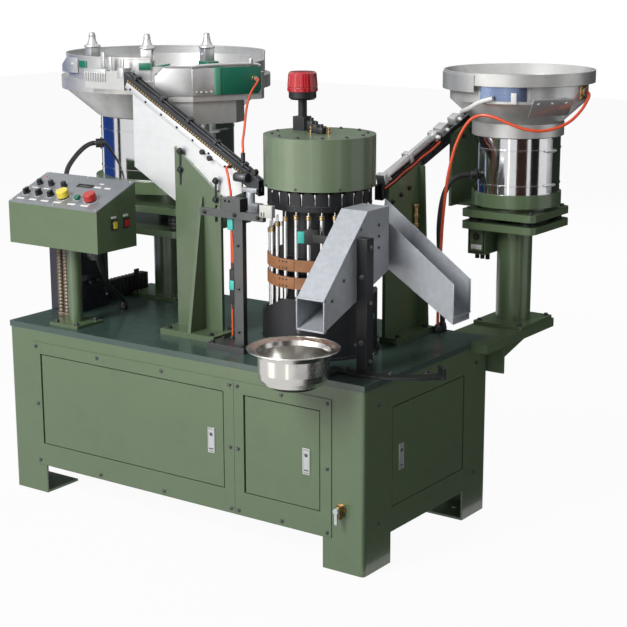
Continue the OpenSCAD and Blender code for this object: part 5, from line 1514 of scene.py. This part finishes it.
@dataclass
class Turret:
    """The turret: beacon, hood fittings, pins, collars, bands, sensors and bolts."""

    axis: Point = (355, -55, 0)
    stations: int = 24
    rods: float = 156
    collar: Profile = ((0, 0), (8, 0), (9.3, 1.2), (9.3, 8), (8.9, 8.6), (9.3, 9.2), (9.3, 13.2), (8.2, 14.4),
                       (0, 14.4))
    collar_top: float = 1052
    collar_high: float = 14.2
    lift: float = 62
    climb: float = 184 * math.tan(math.radians(25))  # the cam's radius times its steepest climb
    high_side: float = -23
    pin: Profile = ((0, 0), (1.6, 0), (1.8, 22), (4.4, 33), (4.4, 37), (0, 38))
    pin_foot: Pair = (161, 1081)  # radius and height
    dial_rim: Pair = (164.6, 1071)  # radius and height
    bands: Pair = (838, 894)
    lap: float = -98
    lap_r: float = 167.5
    rivet_r: float = 168.6
    lap_link: Block = ((-8, -18.4, -1.6), (8, 18.4, 1.2))
    beacon: Point = (-102, 51, 1409)
    lens: Profile = ((0, -0.4), (47.6, -0.4), (48.6, 3), (48.6, 11.4), (46.6, 12), (46.6, 14.2), (48.2, 14.8),
                     (44.6, 56.4), (39.4, 61.6), (0, 62.8))
    lens_ribs: int = 32
    lens_rib: Point = (46.6, 0, 16)
    lens_rib_size: Pair = (1.7, 38)  # radius and length
    lens_taper: float = 4.8701
    hood_top: float = 1286
    valves: Points = ((-52, 30, 34), (-22, 12, 26), (8, -2, 20))  # place and height
    valve_half: Pair = (11, 13)
    knobs: Pairs = ((-36, 6), (-2, 30), (30, 8))
    knob: Profile = ((0, 0), (7, 0), (7, 8), (4, 9), (4, 13), (6.4, 14), (6.4, 20), (0, 21))
    hood_screws: Pair = (176.8, 1134)  # radius and height
    duct_switch: Point = (-62, 177.2, 1126)  # angle, radius and height
    duct_body: Block = ((-46, -154, 4), (-24, -118, 16))
    holder: Block = ((-24, -158, 2), (18, -112, 18))
    arm: Block = ((444, -226, 976), (545.6, -214, 1000))
    cam_switch: Point = (4, 190, 722)  # angle, radius and height
    cam_body: Block = ((-10, -9, -8), (10, 9, 4))
    cam_post: Block = ((-12, -122, -10), (12, -8, -6))
    cam_sole: Block = ((-14, -122, -10), (14, -116, 16))
    cam_bolts: Floats = (-150, -128, -106, -62, -40, -18, 4, 26, 48)
    cam_face: Pair = (184, 640)  # radius and height
    slide_bolt: Point = (-75, 183, 690)  # angle, radius and height
    table: float = 600
    cam_foot: Profile = ((183, 0.2), (192, 0.2), (192, 7), (187, 10), (183, 10))

    def at(self, angle: float, radius: float, height: float) -> Matrix:
        """Give a place round the turret that faces outward."""
        return facing(ring(self.axis, angle, radius, height), outward(angle))

    def angles(self, offset: float) -> list[float]:
        """Give the stations' angles for an offset of half a station, and those between them for none."""
        return [(n + offset) * 360 / self.stations for n in range(self.stations)]

    def collars(self) -> None:
        """Build the brass collars at the heights that the cam gives the rods."""
        made = Shape()
        for angle in self.angles(0.5):
            way = math.cos(math.radians(angle - self.high_side))
            drop = self.lift * (1 - max(0.0, min(1.0, 0.5 + self.climb / self.lift * way)))
            foot = ring(self.axis, angle, self.rods, self.collar_top - drop - self.collar_high)
            made.lathe(shift(*foot), self.collar, 18)
        made.piece("rod_collars", Finishes.brass, "push_rods")

    def pins(self) -> None:
        """Build the flared pins between the work holders."""
        made = Shape()
        for angle in self.angles(0.0):
            made.lathe(shift(*ring(self.axis, angle, *self.pin_foot)), self.pin, 12)
        made.piece("holder_pins", Finishes.rod, "turret")

    def dial_screws(self) -> None:
        """Build the screws in the dial's rim and the rivets of the two bands."""
        made = Shape().screws([self.at(angle, *self.dial_rim) for angle in self.angles(0.5)], 7, 1.6)
        rivets = [self.at(self.lap + step, self.rivet_r, middle + rise)
                  for middle in self.bands for step in (-5, 0, 5) for rise in (-10, 10)]
        made.screws(rivets, 6, 1.4).piece("dial_screws", Finishes.dark, "turret")

    def top_parts(self) -> None:
        """Build the beacon's ribbed lens, and the valves, knobs and screws on the hood."""
        foot = shift(*self.axis) @ shift(*self.beacon)
        lens = Shape().lathe(foot, self.lens, 64)
        for n in range(self.lens_ribs):
            rib = foot @ turned(n * 360 / self.lens_ribs) @ shift(*self.lens_rib)
            lens.rod(rib @ turned(-self.lens_taper, "Y"), *self.lens_rib_size, 8)
        lens.piece("beacon_lens", Finishes.lens)
        top = shift(*self.axis) @ shift(0, 0, self.hood_top)
        valves, knobs = Shape(), Shape()
        wide, deep = self.valve_half
        for x, y, high in self.valves:
            valves.box((x - wide, y - deep, 0), (x + wide, y + deep, high), 2, top)
            valves.ribbed(top @ shift(x, y, high - 0.5), 6, 0.8, 10, 3.3)
        valves.piece("hood_valves", Finishes.black)
        for x, y in self.knobs:
            knobs.lathe(top @ shift(x, y, 0), self.knob, 18)
        knobs.piece("hood_knobs", Finishes.brass)
        rim = [ring(self.axis, n * 30 + 8, 150, self.hood_top) for n in range(12)]
        bolts = Shape().bolts(rim, UP, Head.HOOD)
        bolts.screws([self.at(n * 45 - 80, *self.hood_screws) for n in range(8)], 8, 3)
        bolts.piece("hood_bolts", Finishes.stand)

    def sensors(self) -> None:
        """Build the switch on its arm from the duct, and the switch beside the cam."""
        first = self.at(*self.duct_switch)
        second = self.at(*self.cam_switch)
        arm = Shape().box(*self.holder, 1.4, first).box(*self.arm, 1.2)
        arm.piece("switch_bracket", Finishes.black)
        bodies = Shape().box(*self.duct_body, 1.6, first).box(*self.cam_body, 1.4, second)
        bodies.piece("switch_bodies", Finishes.cyan)
        foot = Shape().box(*self.cam_post, 0.6, second).box(*self.cam_sole, 0.8, second)
        foot.piece("switch_foot", Finishes.stand)

    def cam_parts(self) -> None:
        """Build the cam housing's bolts and foot ring."""
        made = Shape()
        for angle in self.cam_bolts:
            made.bolts([ring(self.axis, angle, *self.cam_face)], outward(angle), Head.CAM)
        made.bolts([ring(self.axis, *self.slide_bolt)], outward(self.slide_bolt[0]), Head.SLIDE)
        made.piece("cam_bolts", Finishes.stand)
        foot = Shape().lathe(shift(*self.axis) @ shift(0, 0, self.table), self.cam_foot, 72)
        foot.piece("cam_foot", Finishes.dark)

    def build(self) -> None:
        """Build the turret's fittings."""
        self.collars()
        self.pins()
        self.dial_screws()
        for number, middle in enumerate(self.bands, 1):
            lap = Shape()
            for step in range(-4, 5):
                lap.box(*self.lap_link, 0.5, self.at(self.lap + step * 3, self.lap_r, middle))
            lap.piece(f"band_lap_{number}", Finishes.leather, "turret")
        self.top_parts()
        self.sensors()
        self.cam_parts()


@dataclass
class LeftTrack:
    """The left track's cover strip, beads, guides, bolts, knobs and feed head."""

    start: Point = (-378, -140, 1450)
    slope: float = 29.7
    strip: Block = ((26, -43.6, -0.4), (560, -23, 1.6))
    beads: int = 52
    bead: Point = (28, -17, -0.5)
    bead_size: Pair = (3.6, 3)  # radius and height
    bead_pitch: float = 11
    guides: Blocks = (((20, 3, -26), (590, 9, -20)), ((20, 3, -10), (590, 9, -4)))
    clip: Block = ((40, -2, -31), (54, 12, 1))
    clips: int = 5
    clip_pitch: float = 128
    screw: Point = (50, -36, 0)
    screws: int = 8
    screw_pitch: float = 76
    pairs: Pairs = ((-142, 1204), (5, 1118))  # place across and height of the upper bolt
    pair_face: float = -141
    pair_drop: float = 61
    foot: Point = (-61, -156.5, 620)
    foot_half: Pair = (89, 48.5)
    knobs: Points = ((-48, -129, 1208), (-18, -129, 1190))
    end_knob: Point = (170, -140, 1160)
    head: Blocks = (((118, -150, 1094), (176, -106, 1108)), ((150, -172, 1030), (196, -138, 1062)))
    stem: Point = (150, -146, 1034)
    barrel: Point = (92, -150, 1140)

    def bolts(self, rail: Matrix) -> Shape:
        """Build the bracket's bolts with the dark bars between them, and the rails' screws.

        Args:
            rail: the place of the rails' upper end.

        Returns:
            The bolts.
        """
        made = Shape()
        for x, high in self.pairs:
            low = high - self.pair_drop
            made.bolts([(x, self.pair_face, z) for z in (high, low)], FRONT, Head.BRACKET)
            made.box((x - 4, self.pair_face - 2, low), (x + 4, self.pair_face + 0.4, high), 0.6)
        made.bolts(corners(self.foot, *self.foot_half), UP)
        return made.screws(row(rail, self.screw, self.screw_pitch, self.screws), 8, 4)

    def build(self) -> None:
        """Build the left track's fittings."""
        rail = facing(self.start, FRONT) @ turned(-self.slope)
        Shape().box(*self.strip, 0.6, rail).piece("left_rail_strip", Finishes.bright)
        beads = Shape()
        for place in row(rail, self.bead, self.bead_pitch, self.beads):
            beads.rod(place, *self.bead_size, 8)
        beads.piece("left_rail_screws", Finishes.brass)
        guide = Shape().boxes(self.guides, 1, rail)
        for n in range(self.clips):
            guide.box(*self.clip, 1.2, rail @ shift(n * self.clip_pitch, 0, 0))
        guide.piece("left_rail_guide", Finishes.rail)
        self.bolts(rail).piece("left_track_bolts", Finishes.dark)
        knobs = Shape()
        for spot in self.knobs:
            knobs.ribbed(facing(spot, FRONT), 8, 1, 20, 5)
        knobs.ribbed(facing(self.end_knob, FRONT), 9, 1, 18, 5).piece("left_track_knobs", Finishes.black)
        upper, lower = self.head
        head = Shape().box(*upper, 1.5).rod(shift(*self.stem), 14, 62, rounded=2).box(*lower, 2)
        head.piece("left_feed_head", Finishes.zinc)
        at = facing(self.barrel, RIGHT)
        barrel = Shape().rod(at, 15, 44, rounded=2).ribbed(at @ shift(0, 0, 42), 15.6, 1, 9, 3)
        barrel.piece("left_feed_barrel", Finishes.stand)


@dataclass
class RightTrack:
    """The right track's air cylinder, blocks, fittings, bolts, tube and feed pipe."""

    start: Point = (497, 90, 1114)
    slope: float = 18.5
    cylinder_foot: Point = (20, 14, -14)
    cylinder_size: Pair = (13, 330)  # radius and length
    rod_foot: Point = (366, 14, -14)
    rod_size: Pair = (6, 90)  # radius and length
    clamp: Block = ((0, -4, -31), (22, 30, 2))
    screw: Point = (40, -30, 0)
    screws: int = 8
    screw_pitch: float = 70
    clamps: Floats = (14, 176, 344)
    blocks: Blocks = (((384, -2, -32), (430, 30, 4)), ((478, -2, -30), (520, 26, 2)))
    fittings: Floats = (30, 350, 410, 500)
    fitting: Profile = ((0, 0), (6.5, 0), (6.5, 9), (5, 10), (5, 14), (0, 14))
    side_bolts: Points = ((509, 130, 1060), (509, 180, 1076), (509, 230, 1092), (507, 530, 1209.9),
                          (507, 580, 1226.4), (507, 630, 1242.9))
    foot_bolts: Points = ((540, 120, 620), (540, 290, 620))
    valve: Point = (516, 262, 960)
    valve_size: Pair = (7, 70)  # radius and height
    valve_nuts: Floats = (0, 30, 64)
    valve_nut: Pair = (11, 12)  # radius and height
    pipe: Points = ((735, 364, 1382), (690, 360, 1368), (640, 378, 1344), (575, 452, 1324),
                    (506, 566, 1300))
    pipe_r: float = 7.5
    tube_r: float = 3.6

    def cylinder(self, rail: Matrix) -> Shape:
        """Build the air cylinder with its clamps, its rod and the blocks at its end.

        Args:
            rail: the place of the rails' lower end.

        Returns:
            The cylinder.
        """
        lie = turned(90, "Y")
        made = Shape().rod(rail @ shift(*self.cylinder_foot) @ lie, *self.cylinder_size, 32, 2)
        for along in self.clamps:
            made.box(*self.clamp, 2, rail @ shift(along, 0, 0))
        made.rod(rail @ shift(*self.rod_foot) @ lie, *self.rod_size, 20)
        return made.boxes(self.blocks, 2, rail)

    def build(self) -> None:
        """Build the right track's fittings."""
        rail = facing(self.start, RIGHT) @ turned(self.slope)
        self.cylinder(rail).piece("right_track_cylinder", Finishes.alloy)
        fittings = Shape()
        for along in self.fittings:
            fittings.lathe(rail @ shift(along, 14, 1), self.fitting, 18)
        fittings.piece("right_track_fittings", Finishes.white)
        bolts = Shape().screws(row(rail, self.screw, self.screw_pitch, self.screws), 8, 4)
        bolts.bolts(self.side_bolts, RIGHT, Head.RAIL).bolts(self.foot_bolts, UP)
        bolts.piece("right_track_bolts", Finishes.dark)
        brass = Shape().rod(shift(*self.valve), *self.valve_size, 20, 1)
        for up in self.valve_nuts:
            brass.rod(shift(*self.valve) @ shift(0, 0, up), *self.valve_nut, 6, 0.8)
        brass.piece("right_track_brass", Finishes.brass)
        tube = smooth_line([rail @ Vector((n * 60, -8 - n % 2 * 3, 5)) for n in range(7)], 10)
        Shape().sweep(tube, self.tube_r).piece("right_track_tube", Finishes.hose)
        Shape().sweep(smooth_line(self.pipe, 12), self.pipe_r).piece("right_feed_pipe", Finishes.white)


@dataclass
class Outlet:
    """The chute's hems and screws, the post's bolts and the bead of the pot's rim."""

    mouth_hems: Blocks = (
        ((542, -445, 760), (643, -432, 766)), ((542, -445, 854), (643, -432, 860)),
        ((542, -445, 761), (546, -432, 859)), ((639, -445, 761), (643, -432, 859)))
    channel_hems: Blocks = (
        ((853, -74, 762), (857.5, 34, 766)), ((852, -72, 764), (857.5, -68, 868)),
        ((852, 28, 764), (857.5, 32, 868)))
    side: float = 640
    side_screws: Pairs = ((-339, 900), (-400, 850), (-152, 1039), (-152, 1005), (-152, 970), (-250, 1040))
    screw: Profile = ((0, -0.2), (5.5, -0.2), (5, 2), (2.6, 3.4), (0, 3.6))
    post_side: Points = ((676, -253, 640), (676, -253, 820), (676, -253, 990))
    post_front: Points = ((658, -271, 700), (658, -271, 900))
    arm_bolts: Points = ((600, -268, 608), (740, -236, 608), (820, -160, 608))
    pot: Point = (560, -482, 608)
    bead: Profile = ((134.6, 104.6), (137.6, 105), (138.8, 107), (137.6, 109.2), (134.6, 108.8))

    def build(self) -> None:
        """Build the outlet's fittings."""
        hems = Shape().boxes(self.mouth_hems, 1).boxes(self.channel_hems, 0.8)
        hems.piece("chute_hems", Finishes.zinc)
        screws = Shape()
        for y, z in self.side_screws:
            screws.lathe(facing((self.side, y, z), RIGHT), self.screw, 18)
        screws.bolts(self.post_side, RIGHT, Head.RAIL).bolts(self.post_front, FRONT, Head.RAIL)
        screws.bolts(self.arm_bolts, UP).piece("chute_screws", Finishes.stand)
        Shape().lathe(shift(*self.pot), self.bead, 72).piece("pot_bead", Finishes.pot, "collecting_pot")


@dataclass
class SensorStand:
    """The sensor stand's bolts, valve, switch, link and block, all placed from the post's foot."""

    middle: Point = (178, -240, 600)
    foot: Point = (145, -240, 618)
    foot_half: Pair = (61, 28)
    bar_bolts: Floats = (-120, 0, 92)
    post_screws: Floats = (60, 200, 340)
    valve: Block = ((-36, -12, 150), (-18, 12, 262))
    # Height, direction and length.
    ports: tuple[tuple[float, Point, float], ...] = ((262, UP, 20), (150, DOWN, 16))
    slots: Blocks = (((106, -30.6, 446), (110, -28, 460)), ((116, -30.6, 446), (120, -28, 460)))
    switch: Blocks = (((-40, -14, 388), (-18, 8, 424)), ((-37, -13, 196), (-17, -11, 226)))
    link: Points = ((-27, 0, 282), (-27, 0, 320), (-28, -2, 360), (-29, -3, 390))
    link_r: float = 3.5
    block: Block = ((100, -30, 444), (148, -12, 482))

    def build(self) -> None:
        """Build the stand's fittings."""
        post = shift(*self.middle)
        bolts = Shape().bolts(corners(self.foot, *self.foot_half), UP, Head.STAND)
        bolts.bolts([post @ Vector((x, -26, 440)) for x in self.bar_bolts], FRONT, Head.BAR)
        bolts.screws([post @ facing((0, -10, z), FRONT) for z in self.post_screws], 9, 4)
        bolts.piece("stand_bolts", Finishes.dark)
        valve = Shape().box(*self.valve, 2, post)
        for z, way, long in self.ports:
            valve.ribbed(post @ facing((-27, 0, z), way), 7, 1, long, 5)
        valve.boxes(self.slots, 0.3, post).piece("stand_valve", Finishes.black)
        body, plate = self.switch
        Shape().box(*body, 2, post).box(*plate, 0.6, post).piece("stand_switch", Finishes.cyan)
        link = smooth_line([post @ Vector(point) for point in self.link], 6)
        Shape().sweep(link, self.link_r).piece("stand_link", Finishes.hose)
        Shape().box(*self.block, 1.2, post).piece("stand_plates", Finishes.gear)


def main() -> None:
    """Build the stage, the cords and every sub-assembly."""
    logging.basicConfig(level=logging.INFO, format="%(message)s")
    for part in (Stage(), Cords(), Cabinet(), Console(), AirUnit(), LeftFeeder(), RightFeeder(), Turret(),
                 LeftTrack(), RightTrack(), Outlet(), SensorStand()):
        part.build()
    dress_solids()


if __name__ == "__main__":
    main()
